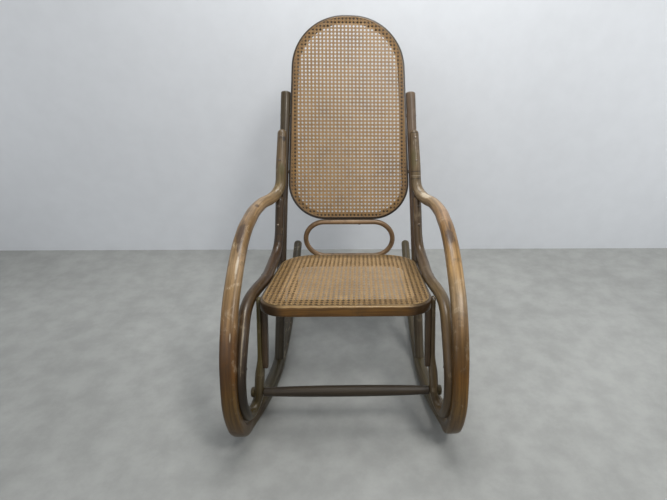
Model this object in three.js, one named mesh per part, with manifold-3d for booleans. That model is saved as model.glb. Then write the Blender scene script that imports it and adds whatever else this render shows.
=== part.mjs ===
// A bentwood rocking chair with a caned seat and a caned back.
// Millimetres, Z up. The chair faces -Y, and left is the sitter's left, at +X.
// Lengths along Y are first measured from the seat's front edge; the last lines centre the whole chair.
import * as THREE from 'three';
import { mergeVertices } from 'three/addons/utils/BufferGeometryUtils.js';
import Module from 'manifold-3d';

const wasm = await Module();
wasm.setup();
const { degToRad, lerp, smoothstep } = THREE.MathUtils;

// Clearances and cuts
const clearance = 0.3;
const overrun = 5;
const lapDepth = 0.8;
const mergeDistance = 0.001;

// Seat
const seatFrontHeight = 419;
const seatLength = 483;
const seatTilt = degToRad(11.8);
const seatFrontHalfWidth = 232;
const seatRearHalfWidth = 224;
const seatFrontCorner = 76;
const seatRearCorner = 110;
const seatRingBreadth = 44;
const seatRingThickness = 29;
const seatRimWidth = 7;

// Back
const backLean = degToRad(25.5);
const backPlace = 258;
const backBottomHeight = 455;
const backTopHeight = 1068;
const backTopCorner = 178;
const backBottomCorner = 122;
const backRingBreadth = 23;
const backRingThickness = 20;
const backRimWidth = 4.5;
const backGap = 2;

// Cane, woven on a coarse pitch here
const caneThickness = 1.6;
const canePitch = 50;
const caneStrand = 32;

// Posts
const postRadius = 15.5;
const postTopHeight = 842;
const postTopHalfSpread = 209;

// Arm and runner, one bent rod on each side
const armHeight = 529;
const armReach = 115.5;
const armStandOff = 24.5;
const armLapLift = 76;
const armLapLength = 117;
const armEndRadius = 14.6;
const armLapFootRadius = 17;
const armHalfWidth = 20.5;
const armHalfThickness = 18;
const runnerFrontRadius = 1500;
const runnerRearRadius = 1010;
const runnerTail = 592;
const runnerTipHalfSpread = 237;
const runnerTipHalfWidth = 17;
const runnerTipHalfThickness = 15.5;
const runnerBowReach = 25;
const runnerBowDraw = 5;
const treadPlace = 308;
const treadLength = 90;
const treadTrim = 1;

// Scroll inside the arm, with its tail outside the leg block
const scrollStandOff = 33;
const scrollEndHeight = 524;
const scrollLapFootHeight = 408;
const scrollEndRadius = 14.2;
const scrollHalfWidth = 16.5;
const scrollReach = 102;
const scrollBottomRadius = 13.5;
const tailStandOff = 8;
const tailHalfWidth = 12.6;
const tailTipHalfWidth = 6.3;
const tailPlace = 88;
const tailTipLift = 9;
const legBlockWidth = 16;
const legBlockDepth = 24;

// Stretchers and the buttons outside the front one
const stretcherHeight = 157;
const stretcherSetBack = -22;
const stretcherEndRadius = 11.5;
const stretcherMiddleRadius = 15.5;
const tenonRadius = 7;
const buttonRadius = 14;
const buttonThickness = 8;
const rearStretcherPlace = 590;
const rearStretcherRadius = 11;
const rearStretcherEndRadius = 9.5;
const rearTenonDepth = 14;

// Loop under the back
const loopRodRadius = 8.5;
const loopHalfWidth = 157.5;
const loopDrop = 5;

// Screws and washers
const screwRadius = 2.4;
const screwHeadRadius = 5;
const screwHeadHeight = 2.8;
const screwSink = 1.8;
const screwGrip = 15;
const legScrewRelief = 3;
const footScrewRecess = 4;
const washerRadius = 6;
const washerInset = 1.5;
const backScrewHeights = { upper: 770, lower: 600 };
const armScrewDrops = { upper: 25, lower: 94 };
const scrollScrewHeights = { upper: 492, lower: 436 };
const loopTopScrewPlace = 35;
const loopFootScrewPlaces = { left: 62, right: -62 };

// The bent lines, drawn by hand.
// Where the arm's lap stands round its post: the share of the turn from beside it to before it.
const armLapTurnShare = 0.9;
const armLapPointCount = 4;
// The arm from its lap to its bow: shares of the run forward, of the arm's height, of the flare outward.
const armLineShares = [
  [0.034, 1.07, 0.06],
  [0.074, 1.032, 0.24],
  [0.122, 1.02, 0.465],
  [0.171, 1.022, 0.7],
  [0.294, 1.025, 0.9],
  [0.391, 1.026, 0.915],
  [0.491, 1.02, 0.925],
  [0.607, 0.981, 0.94],
  [0.677, 0.934, 0.96],
  [0.739, 0.88, 0.98],
  [0.809, 0.812, 1.0],
  [0.884, 0.715, 1.0],
  [0.945, 0.597, 1.0],
  [0.985, 0.463, 1.0],
  [1.0, 0.367, 1.0],
  [0.997, 0.275, 0.97],
  [0.977, 0.198, 0.94],
  [0.934, 0.136, 0.92],
];
// The runner from the bow to its tip: shares of the way to the tread, then of the way from it.
const runnerDrawShare = 1.6;
const runnerFrontShares = [0, 0.3, 0.6, 0.85];
const runnerRearShares = [0.15, 0.4, 0.7, 1];
// The scroll from its lap to its bow: shares of the run forward, of the seat's height, of the spread.
// From where it leaves the seat it follows the arm's height, at a share that meets the seat's.
const scrollLapTurnShare = 0.86;
const scrollFreeShare = 0.54;
const scrollNestShare = 0.815;
const scrollRiseShare = 0.792;
const scrollSeatShares = [0.362, 0.884, 0.919];
const scrollArmShares = [0.951, 0.668, 1.0];
const scrollLineShares = [
  [0.045, 0.918, 0.888],
  [0.1, 0.884, 0.901],
  [0.168, 0.874, 0.911],
  [0.272, 0.874, 0.916],
  scrollSeatShares,
  [0.462, 0.905, 0.936],
  [0.54, 0.918, 0.962],
  [0.654, 0.926, 0.992],
  [0.743, 0.905, 1.0],
  [0.815, 0.847, 1.0],
  [0.888, 0.764, 1.0],
  scrollArmShares,
  [0.989, 0.568, 1.0],
  [1.0, 0.465, 0.998],
  [0.987, 0.375, 0.99],
];
// Its turn under: shares of the reach before the stretcher, of the stretcher's height, of the spread.
const scrollTurnShares = [
  [0.7, 0.81, 0.985],
  [0.375, 0.739, 0.965],
  [0.1, 0.815, 0.935],
];
// Its tail from the stretcher up to the seat: shares of the run back, of the rise, of the draw inward.
const tailLegShares = [0.636, 0.566, 1];
const tailLineShares = [
  [0, 0, 0],
  [0.165, 0.123, 0.5],
  [0.336, 0.234, 0.9],
  [0.49, 0.396, 1],
  tailLegShares,
  [0.818, 0.77, 1],
  [1, 1, 1],
];
// Sizes along the rods: [share of the length, size] pairs.
const armWidthShares = [
  [0, armEndRadius],
  [0.065, armLapFootRadius],
  [0.2, armHalfWidth],
  [0.55, armHalfWidth],
  [1, runnerTipHalfWidth],
];
const armThicknessShares = [
  [0, armEndRadius],
  [0.065, armLapFootRadius],
  [0.2, armHalfThickness],
  [0.85, armHalfThickness],
  [1, runnerTipHalfThickness],
];
const scrollWidthShares = [
  [0, scrollEndRadius],
  [0.1, scrollEndRadius],
  [0.2, scrollHalfWidth],
  [0.5, scrollHalfWidth],
  [0.68, scrollBottomRadius],
  [0.82, tailHalfWidth],
  [0.87, tailTipHalfWidth],
  [1, tailTipHalfWidth],
];
const scrollThicknessShares = [
  [0, scrollEndRadius],
  [0.1, scrollEndRadius],
  [0.2, scrollHalfWidth],
  [0.5, scrollHalfWidth],
  [0.7, scrollBottomRadius],
  [1, tailHalfWidth],
];
// The part of the arm's length at which its runner begins.
const runnerStartShare = 0.5;
// Rounded ends and edges, and the swelling of the turned pieces.
const railEdgeShare = 0.2;
const screwCrownShare = 0.6;
const buttonEdgeShare = 0.6;
const buttonCrownShare = 0.7;
const stretcherQuarterShare = 0.92;
// Corners round the sections.
const rodCornerCount = 12;
const blockCornerCount = 8;
const loopCornerCount = 8;
const turnedCornerCount = 12;
const screwCornerCount = 8;

const X_AXIS = new THREE.Vector3(1, 0, 0);
const Y_AXIS = new THREE.Vector3(0, 1, 0);
const sides = { left: 1, right: -1 };

// Materials
const finish = (color, roughness) => new THREE.MeshStandardMaterial({ color, roughness, metalness: 0 });
const postWood = () => finish(0x574833, 0.5);
const armWood = () => finish(0x7d5c36, 0.35);
const scrollWood = () => finish(0x5a4936, 0.45);
const railWood = () => finish(0x5b3d22, 0.4);
const caneFinish = () => finish(0xb08c58, 0.6);
const steel = () => new THREE.MeshStandardMaterial({ color: 0x4b4640, roughness: 0.5, metalness: 0.9 });

// Solids
function toSolid(geometry) {
  const bare = geometry.clone();
  bare.deleteAttribute('normal');
  bare.deleteAttribute('uv');
  const merged = mergeVertices(bare, mergeDistance);
  return new wasm.Manifold(new wasm.Mesh({
    numProp: 3,
    vertProperties: new Float32Array(merged.attributes.position.array),
    triVerts: new Uint32Array(merged.index.array),
  }));
}

function toGeometry(solid) {
  const mesh = solid.getMesh();
  const geometry = new THREE.BufferGeometry();
  geometry.setAttribute('position', new THREE.BufferAttribute(mesh.vertProperties, 3));
  geometry.setIndex(new THREE.BufferAttribute(mesh.triVerts, 1));
  const flat = geometry.toNonIndexed();
  flat.computeVertexNormals();
  return flat;
}

const cut = (solid, ...tools) => tools.reduce((rest, tool) => rest.subtract(tool), solid);

// A skin over rings of points, with a point at each end, or joined end to start when it has none.
function skin(rings, ends = []) {
  const count = rings[0].length;
  const points = rings.flat();
  const faces = [];
  const spans = ends.length ? rings.length - 1 : rings.length;
  for (let i = 0; i < spans; i += 1) {
    const here = i * count;
    const next = ((i + 1) % rings.length) * count;
    for (let j = 0; j < count; j += 1) {
      const k = (j + 1) % count;
      faces.push(here + j, here + k, next + k, here + j, next + k, next + j);
    }
  }
  if (ends.length) {
    const tail = (rings.length - 1) * count;
    const start = points.push(ends[0]) - 1;
    const end = points.push(ends[1]) - 1;
    for (let j = 0; j < count; j += 1) {
      const k = (j + 1) % count;
      faces.push(start, k, j, end, tail + j, tail + k);
    }
  }
  const geometry = new THREE.BufferGeometry().setFromPoints(points);
  geometry.setIndex(faces);
  return toSolid(geometry);
}

// Places along a curve where a bent rod needs a ring: after a few degrees of bend, or a long step.
const ringTurn = degToRad(13);
const ringStepShare = 0.05;
const walkSteps = 400;
const halvings = 24;
const domeAngles = [30, 60].map(degToRad);

function ringPlaces(curve, from, to, stops) {
  const places = [from];
  let heading = curve.getTangentAt(from);
  for (let i = 1; i < walkSteps; i += 1) {
    const at = lerp(from, to, i / walkSteps);
    const stop = stops.find((share) => share > places.at(-1) && share <= at);
    const tangent = curve.getTangentAt(at);
    if (stop || tangent.angleTo(heading) > ringTurn || at - places.at(-1) > ringStepShare) {
      places.push(stop ?? at);
      heading = tangent;
    }
  }
  places.push(to);
  return places;
}

// The share of an arm's length at which its runner reaches a place along Y.
function shareAtPlace(curve, place) {
  let [before, behind] = [runnerStartShare, 1];
  for (let i = 0; i < halvings; i += 1) {
    const middle = (before + behind) / 2;
    if (curve.getPointAt(middle).y < place) before = middle;
    else behind = middle;
  }
  return before;
}

// The point of a curve nearest to another point.
function nearestOn(curve, point) {
  const gap = (other) => other.distanceTo(point);
  return curve.getSpacedPoints(walkSteps).reduce((near, other) => (gap(other) < gap(near) ? other : near));
}

// Sizes that change along a rod: [share of its length, size] pairs, eased from one to the next.
const taper = (pairs) => (at) => pairs.slice(1).reduce((size, [end, target], i) => {
  const start = pairs[i][0];
  return at > start ? lerp(size, target, smoothstep(at, start, end)) : size;
}, pairs[0][1]);

// A bent rod with an oval section whose width lies along X. Its ends are domes, or flat.
// swell thickens it all round, so that it can cut its own seat in a neighbour.
function bentRod(curve, wide, thick, options = {}) {
  const { corners = rodCornerCount, swell = 0, from = 0, to = 1, domed = true, stops = [] } = options;
  const length = curve.getLength();
  const startDepth = domed ? thick(from) / length : 0;
  const endDepth = domed ? thick(to) / length : 0;
  const places = ringPlaces(curve, from + startDepth, to - endDepth, stops).map((at) => [at, 1]);
  if (domed) {
    const caps = domeAngles.map((angle) => [1 - Math.cos(angle), Math.sin(angle)]);
    places.unshift(...caps.map(([depth, scale]) => [from + startDepth * depth, scale]));
    places.push(...caps.toReversed().map(([depth, scale]) => [to - endDepth * depth, scale]));
  }
  const rings = places.map(([at, scale]) => {
    const centre = curve.getPointAt(at);
    const tangent = curve.getTangentAt(at);
    const across = X_AXIS.clone().projectOnPlane(tangent).normalize();
    const inward = tangent.clone().cross(across);
    return Array.from({ length: corners }, (_, j) => {
      const angle = ((j + 0.5) / corners) * 2 * Math.PI;
      return centre.clone()
        .addScaledVector(across, (wide(at) * scale + swell) * Math.cos(angle))
        .addScaledVector(inward, (thick(at) * scale + swell) * Math.sin(angle));
    });
  });
  const reach = (at, way) => curve.getPointAt(at).addScaledVector(curve.getTangentAt(at), way * swell);
  return skin(rings, [reach(from, -1), reach(to, 1)]);
}

// A flat outline with rounded corners: its points, each with the direction that points outward.
function roundedOutline(corners, turnStep) {
  return corners.flatMap(([x, y, radius], i) => {
    const here = new THREE.Vector2(x, y);
    const before = new THREE.Vector2(...corners.at(i - 1)).sub(here).normalize();
    const after = new THREE.Vector2(...corners[(i + 1) % corners.length]).sub(here).normalize();
    const half = Math.acos(before.dot(after)) / 2;
    const middle = before.clone().add(after).normalize();
    const centre = here.clone().addScaledVector(middle, radius / Math.sin(half));
    const sweep = Math.PI - 2 * half;
    const steps = Math.ceil(sweep / turnStep);
    const first = Math.atan2(-middle.y, -middle.x) - sweep / 2;
    return Array.from({ length: steps + 1 }, (_, k) => {
      const angle = first + (sweep * k) / steps;
      const outward = new THREE.Vector2(Math.cos(angle), Math.sin(angle));
      return { point: centre.clone().addScaledVector(outward, radius), outward };
    });
  });
}

// A ring that follows an outline. The section's points are [outward, up] from the outline.
function ringAlong(outline, section, place) {
  return skin(outline.map(({ point, outward }) => section.map(([out, up]) => {
    const flat = point.clone().addScaledVector(outward, out);
    return place(flat.x, flat.y, up);
  })));
}

function roundSection(radius, corners, swell = 0) {
  return Array.from({ length: corners }, (_, j) => {
    const angle = ((0.5 - j) / corners) * 2 * Math.PI;
    return [(radius + swell) * Math.cos(angle), (radius + swell) * Math.sin(angle)];
  });
}

// A rail's section: its outer face is at zero, its outer edges are softened, its middle is at mid-thickness.
function railSection(breadth, thickness, swell = 0) {
  const soft = thickness * railEdgeShare;
  const inner = -breadth - swell;
  const top = thickness / 2 + swell;
  return [
    [swell, top - soft],
    [swell, soft - top],
    [swell - soft, -top],
    [inner, -top],
    [inner, top],
    [swell - soft, top],
  ];
}

// A turned piece that starts at a point and runs along a direction, from [distance, radius] pairs.
// swell thickens it all round, its ends and its shoulders too.
function turned(start, direction, profile, { corners = turnedCornerCount, swell = 0 } = {}) {
  const closed = [[profile[0][0], 0], ...profile, [profile.at(-1)[0], 0]];
  const outline = closed.map(([along, radius], i) => {
    const before = closed[i - 1]?.[0] === along ? closed[i - 1][1] : radius;
    const after = closed[i + 1]?.[0] === along ? closed[i + 1][1] : radius;
    return new THREE.Vector2(radius && radius + swell, along - Math.sign(after - before) * swell);
  });
  const geometry = new THREE.LatheGeometry(outline, corners);
  geometry.applyQuaternion(new THREE.Quaternion().setFromUnitVectors(Y_AXIS, direction));
  geometry.translate(start.x, start.y, start.z);
  return toSolid(geometry);
}

function box(corner, opposite) {
  const size = opposite.clone().sub(corner);
  const geometry = new THREE.BoxGeometry(size.x, size.y, size.z);
  const middle = corner.clone().lerp(opposite, 0.5);
  geometry.translate(middle.x, middle.y, middle.z);
  return toSolid(geometry);
}

// The seat's and the back's own axes: across, along, and up from the middle of the rail.
const frameOf = (origin, along, up) => (x, y, z) => origin.clone()
  .addScaledVector(X_AXIS, x).addScaledVector(along, y).addScaledVector(up, z);
const seatAlong = new THREE.Vector3(0, Math.cos(seatTilt), -Math.sin(seatTilt));
const seatUp = new THREE.Vector3(0, Math.sin(seatTilt), Math.cos(seatTilt));
const seatCorner = new THREE.Vector3(0, 0, seatFrontHeight).addScaledVector(seatUp, -seatRingThickness / 2);
const onSeat = frameOf(seatCorner, seatAlong, seatUp);
const backAlong = new THREE.Vector3(0, Math.sin(backLean), Math.cos(backLean));
const backFacing = new THREE.Vector3(0, -Math.cos(backLean), Math.sin(backLean));
const onBack = frameOf(new THREE.Vector3(0, backPlace, 0), backAlong, backFacing);

// The posts stand in the back's plane and touch the seat's sides.
const postSeatPlace = (backPlace + seatCorner.z * Math.tan(backLean) - seatCorner.y)
  / (Math.cos(seatTilt) + Math.sin(seatTilt) * Math.tan(backLean));
const seatHalfWidthAt = (along) => lerp(seatFrontHalfWidth, seatRearHalfWidth, along / seatLength);
const postSeatHeight = onSeat(0, postSeatPlace, 0).z;
const rearCornerEntry = Math.max(0, postSeatPlace - seatLength + seatRearCorner);
const rearCornerDraw = seatRearCorner - Math.sqrt(seatRearCorner ** 2 - rearCornerEntry ** 2);
const postSeatHalfSpread = seatHalfWidthAt(postSeatPlace) - rearCornerDraw + postRadius - lapDepth;
const postSlope = (postTopHalfSpread - postSeatHalfSpread) / (postTopHeight - postSeatHeight);
const postHalfSpreadAt = (height) => postSeatHalfSpread + (height - postSeatHeight) * postSlope;
const postPoint = (side, height) => onBack(side * postHalfSpreadAt(height), height / Math.cos(backLean), 0);

// The runner's centre line: level over the tread, an arc before it and one behind it.
// It draws inward from the bow to the post, and on to the tip.
const treadStart = treadPlace - treadLength / 2;
const treadEnd = treadPlace + treadLength / 2;
const armHalfSpread = seatFrontHalfWidth + scrollStandOff + armStandOff;
const bowHalfSpread = armHalfSpread - runnerBowDraw;
const runnerTipPlace = treadPlace + runnerTail;

function runnerHeightAt(place) {
  const before = Math.max(0, treadStart - place);
  const behind = Math.max(0, place - treadEnd);
  const rise = before ** 2 / runnerFrontRadius + behind ** 2 / runnerRearRadius;
  return armHalfThickness - treadTrim + rise / 2;
}

const postFootHeight = runnerHeightAt(backPlace);
const postFootPlace = postPoint(1, postFootHeight).y;
const postFootHalfSpread = postHalfSpreadAt(postFootHeight);

function runnerPoint(side, place) {
  const drawn = (postFootPlace - place) / (postFootPlace + runnerBowReach);
  const past = (place - postFootPlace) / (runnerTipPlace - postFootPlace);
  const spread = drawn > 0
    ? lerp(postFootHalfSpread, bowHalfSpread, drawn ** runnerDrawShare)
    : lerp(postFootHalfSpread, runnerTipHalfSpread, past);
  return new THREE.Vector3(side * spread, place, runnerHeightAt(place));
}

// A point beside and before a post, at a share of the turn round it.
function besidePost(side, height, radius, turnShare) {
  const turn = (turnShare * Math.PI) / 2;
  const reach = postRadius + radius - lapDepth;
  return postPoint(side, height)
    .addScaledVector(X_AXIS, side * reach * Math.cos(turn))
    .addScaledVector(backFacing, reach * Math.sin(turn));
}

// The arm's lap before its post.
const armLapFootHeight = armHeight + armLapLift;
const armEndHeight = armLapFootHeight + armLapLength;
const armLapDown = (height) => (armEndHeight - height) / (armEndHeight - armLapFootHeight);
const armLapRadiusAt = (height) => lerp(armEndRadius, armLapFootRadius, armLapDown(height));
const armLapPoint = (side, height) => besidePost(side, height, armLapRadiusAt(height), armLapTurnShare);

function armCurve(side) {
  const lap = Array.from({ length: armLapPointCount }, (_, i) => (
    armLapPoint(side, lerp(armEndHeight, armLapFootHeight, i / (armLapPointCount - 1)))
  ));
  const foot = lap.at(-1);
  const line = armLineShares.map(([forward, rise, flare]) => new THREE.Vector3(
    side * lerp(Math.abs(foot.x), armHalfSpread, flare),
    lerp(foot.y, -armReach, forward),
    armHeight * rise,
  ));
  const runner = [
    ...runnerFrontShares.map((way) => lerp(-runnerBowReach, treadStart, way)),
    treadStart,
    treadPlace,
    treadEnd,
    ...runnerRearShares.map((way) => lerp(treadEnd, runnerTipPlace, way)),
  ].map((place) => runnerPoint(side, place));
  return new THREE.CatmullRomCurve3([...lap, ...line, ...runner], false, 'centripetal');
}

const armWide = taper(armWidthShares);
const armThick = taper(armThicknessShares);

// The scroll's centre line.
const scrollHalfSpread = seatFrontHalfWidth + scrollStandOff;
const stretcherHalfSpread = seatFrontHalfWidth + tailStandOff;
const tailHalfSpread = seatHalfWidthAt(tailPlace) + clearance + tailTipHalfWidth;
const tailPoint = (side, up) => onSeat(side * tailHalfSpread, tailPlace, up);
const scrollLapPoint = (side, height) => besidePost(side, height, scrollEndRadius, scrollLapTurnShare);

function scrollPoint(side, [forward, rise, spread]) {
  const foot = scrollLapPoint(side, scrollLapFootHeight);
  const nested = smoothstep(forward, scrollFreeShare, scrollNestShare);
  return new THREE.Vector3(
    side * scrollHalfSpread * spread,
    lerp(foot.y, -scrollReach, forward),
    lerp(seatFrontHeight, armHeight * scrollRiseShare, nested) * rise,
  );
}

function scrollCurve(side) {
  const lap = [0, 0.5, 1].map((down) => (
    scrollLapPoint(side, lerp(scrollEndHeight, scrollLapFootHeight, down))
  ));
  const turn = scrollTurnShares.map(([forward, rise, spread]) => new THREE.Vector3(
    side * scrollHalfSpread * spread,
    lerp(stretcherSetBack, -scrollReach, forward),
    stretcherHeight * rise,
  ));
  const line = scrollLineShares.map((shares) => scrollPoint(side, shares));
  const points = [...lap, ...line, ...turn, ...tailLine(side)];
  return new THREE.CatmullRomCurve3(points, false, 'centripetal');
}

function tailLinePoint(side, [back, rise, draw], inset = 0) {
  const top = tailPoint(side, tailTipLift);
  return new THREE.Vector3(
    side * (lerp(stretcherHalfSpread, Math.abs(top.x), draw) - inset),
    lerp(stretcherSetBack, top.y, back),
    lerp(stretcherHeight, top.z, rise),
  );
}

function tailLine(side, inset = 0) {
  return tailLineShares.map((shares) => tailLinePoint(side, shares, inset));
}

const scrollWide = taper(scrollWidthShares);
const scrollThick = taper(scrollThicknessShares);

// Outlines of the seat and of the back, and their rings.
const outlineTurn = degToRad(15);

const seatOutline = roundedOutline([
  [-seatHalfWidthAt(0), 0, seatFrontCorner],
  [seatHalfWidthAt(0), 0, seatFrontCorner],
  [seatRearHalfWidth, seatLength, seatRearCorner],
  [-seatRearHalfWidth, seatLength, seatRearCorner],
], outlineTurn);

const backHalfWidthAt = (height) => postHalfSpreadAt(height) - postRadius - backGap;
const backEnds = [backBottomHeight, backTopHeight].map((height) => height / Math.cos(backLean));
const backOutline = roundedOutline([
  [-backHalfWidthAt(backBottomHeight), backEnds[0], backBottomCorner],
  [backHalfWidthAt(backBottomHeight), backEnds[0], backBottomCorner],
  [backHalfWidthAt(backTopHeight), backEnds[1], backTopCorner],
  [-backHalfWidthAt(backTopHeight), backEnds[1], backTopCorner],
], outlineTurn);

const seatSection = (swell) => railSection(seatRingBreadth, seatRingThickness, swell);
const backSection = (swell) => railSection(backRingBreadth, backRingThickness, swell);
const seatRing = (swell) => ringAlong(seatOutline, seatSection(swell), onSeat);
const backRing = (swell) => ringAlong(backOutline, backSection(swell), onBack);

// A cane panel: a flat net inside a rim, with square gaps on a regular pitch.
function canePanel(outline, rim, place, lift) {
  const edge = outline.map(({ point, outward }) => point.clone().addScaledVector(outward, -rim));
  const layer = { depth: caneThickness, bevelEnabled: false };
  const plate = toSolid(new THREE.ExtrudeGeometry(new THREE.Shape(edge), layer));
  const bounds = new THREE.Box2().setFromPoints(edge);
  const size = bounds.getSize(new THREE.Vector2());
  const middle = bounds.getCenter(new THREE.Vector2());
  const half = (canePitch - caneStrand) / 2;
  const reach = canePitch / 2;
  const columns = Math.floor(size.x / canePitch);
  const rows = Math.floor(size.y / canePitch);
  const gaps = [];
  for (let i = 0; i < columns; i += 1) {
    for (let j = 0; j < rows; j += 1) {
      const x = middle.x + (i - (columns - 1) / 2) * canePitch;
      const y = middle.y + (j - (rows - 1) / 2) * canePitch;
      const corners = [[-1, -1], [1, -1], [1, 1], [-1, 1]];
      if (corners.every(([dx, dy]) => isInside(edge, x + dx * reach, y + dy * reach))) {
        gaps.push(box(
          new THREE.Vector3(x - half, y - half, -overrun),
          new THREE.Vector3(x + half, y + half, caneThickness + overrun),
        ));
      }
    }
  }
  const origin = place(0, 0, lift);
  const ends = [place(1, 0, lift), place(0, 1, lift), place(0, 0, lift + 1)];
  const axes = ends.map((point) => point.sub(origin));
  const net = toGeometry(cut(plate, ...gaps));
  return toSolid(net.applyMatrix4(new THREE.Matrix4().makeBasis(...axes).setPosition(origin)));
}

function isInside(edge, x, y) {
  return edge.reduce((inside, here, i) => {
    const before = edge.at(i - 1);
    const crosses = (here.y > y) !== (before.y > y)
      && x < ((before.x - here.x) * (y - here.y)) / (before.y - here.y) + here.x;
    return crosses ? !inside : inside;
  }, false);
}

// Every piece, by name.
const pieces = new Map();
const put = (name, solid, material) => pieces.set(name, { solid, material });
const trim = (name, tool) => {
  const piece = pieces.get(name);
  piece.solid = cut(piece.solid, tool);
};

// The cane, the rings and the loop between them.
const seatCaneLift = seatRingThickness / 2 + clearance;
const backCaneLift = backRingThickness / 2 + clearance;
put('seat_cane', canePanel(seatOutline, seatRimWidth, onSeat, seatCaneLift), caneFinish());
put('back_cane_front', canePanel(backOutline, backRimWidth, onBack, backCaneLift), caneFinish());
const rearCaneLift = -backCaneLift - caneThickness;
put('back_cane_rear', canePanel(backOutline, backRimWidth, onBack, rearCaneLift), caneFinish());
put('back_ring', backRing(0), railWood());
put('seat_ring', seatRing(0), railWood());

const loopTop = onBack(0, backEnds[0] - loopRodRadius - clearance, 0);
const loopFoot = onSeat(0, seatLength + loopRodRadius + clearance, seatRingThickness / 2 - loopDrop);
const loopHeight = loopTop.distanceTo(loopFoot);
const loopAlong = loopTop.clone().sub(loopFoot).normalize();
const loopFacing = loopAlong.clone().cross(X_AXIS).negate();
const onLoop = frameOf(loopFoot, loopAlong, loopFacing);
const loopHalf = loopHalfWidth - loopRodRadius;
const loopOutline = roundedOutline([
  [-loopHalf, 0, loopHeight / 2],
  [loopHalf, 0, loopHeight / 2],
  [loopHalf, loopHeight, loopHeight / 2],
  [-loopHalf, loopHeight, loopHeight / 2],
], outlineTurn);
put('back_loop', ringAlong(loopOutline, roundSection(loopRodRadius, loopCornerCount), onLoop), scrollWood());

// The turned stretchers: each runs across X, at a place and a height, with a tenon at each end.
function stretcher(tenonHalf, shoulderHalf, place, height, endRadius, middleRadius, swell) {
  const quarterRadius = middleRadius * stretcherQuarterShare;
  return turned(new THREE.Vector3(-tenonHalf, place, height), X_AXIS, [
    [0, tenonRadius],
    [tenonHalf - shoulderHalf, tenonRadius],
    [tenonHalf - shoulderHalf, endRadius],
    [tenonHalf - shoulderHalf / 2, quarterRadius],
    [tenonHalf, middleRadius],
    [tenonHalf + shoulderHalf / 2, quarterRadius],
    [tenonHalf + shoulderHalf, endRadius],
    [tenonHalf + shoulderHalf, tenonRadius],
    [2 * tenonHalf, tenonRadius],
  ], { swell });
}

const frontShoulder = stretcherHalfSpread - scrollBottomRadius - clearance;
const frontTenon = stretcherHalfSpread + scrollBottomRadius + buttonThickness / 2;
const frontStretcher = (swell) => stretcher(
  frontTenon,
  frontShoulder,
  stretcherSetBack,
  stretcherHeight,
  stretcherEndRadius,
  stretcherMiddleRadius,
  swell,
);
const rearSpot = runnerPoint(1, rearStretcherPlace);
const rearShoulder = rearSpot.x - armHalfWidth - clearance;
const rearStretcher = (swell) => stretcher(
  rearShoulder + rearTenonDepth,
  rearShoulder,
  rearSpot.y,
  rearSpot.z,
  rearStretcherEndRadius,
  rearStretcherRadius,
  swell,
);
put('front_stretcher', frontStretcher(0), railWood());
put('rear_stretcher', rearStretcher(0), railWood());

// A screw: its head is let into the surface at a point, and its shank runs inward through the named pieces.
function fasten(name, surface, direction, depth, ...through) {
  const head = surface.clone().addScaledVector(direction, screwSink - screwHeadHeight);
  const length = depth + screwGrip;
  const shank = [[screwHeadHeight, screwHeadRadius], [screwHeadHeight, screwRadius], [length, screwRadius]];
  const crown = [0, screwHeadRadius * screwCrownShare];
  const rim = [screwHeadHeight / 2, screwHeadRadius];
  put(name, turned(head, direction, [crown, rim, ...shank], { corners: screwCornerCount }), steel());
  const mouth = [-overrun, screwHeadRadius];
  const bore = turned(head, direction, [mouth, ...shank], { corners: screwCornerCount, swell: clearance });
  through.forEach((piece) => trim(piece, bore));
}

// The pieces of one side.
const floorCorner = new THREE.Vector3(-2 * armHalfSpread, -2 * seatLength, -2 * armHalfThickness);
const floorSlab = box(floorCorner, new THREE.Vector3(2 * armHalfSpread, 3 * seatLength, 0));
const tailInset = clearance + tailTipHalfWidth + legBlockWidth / 2;

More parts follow.
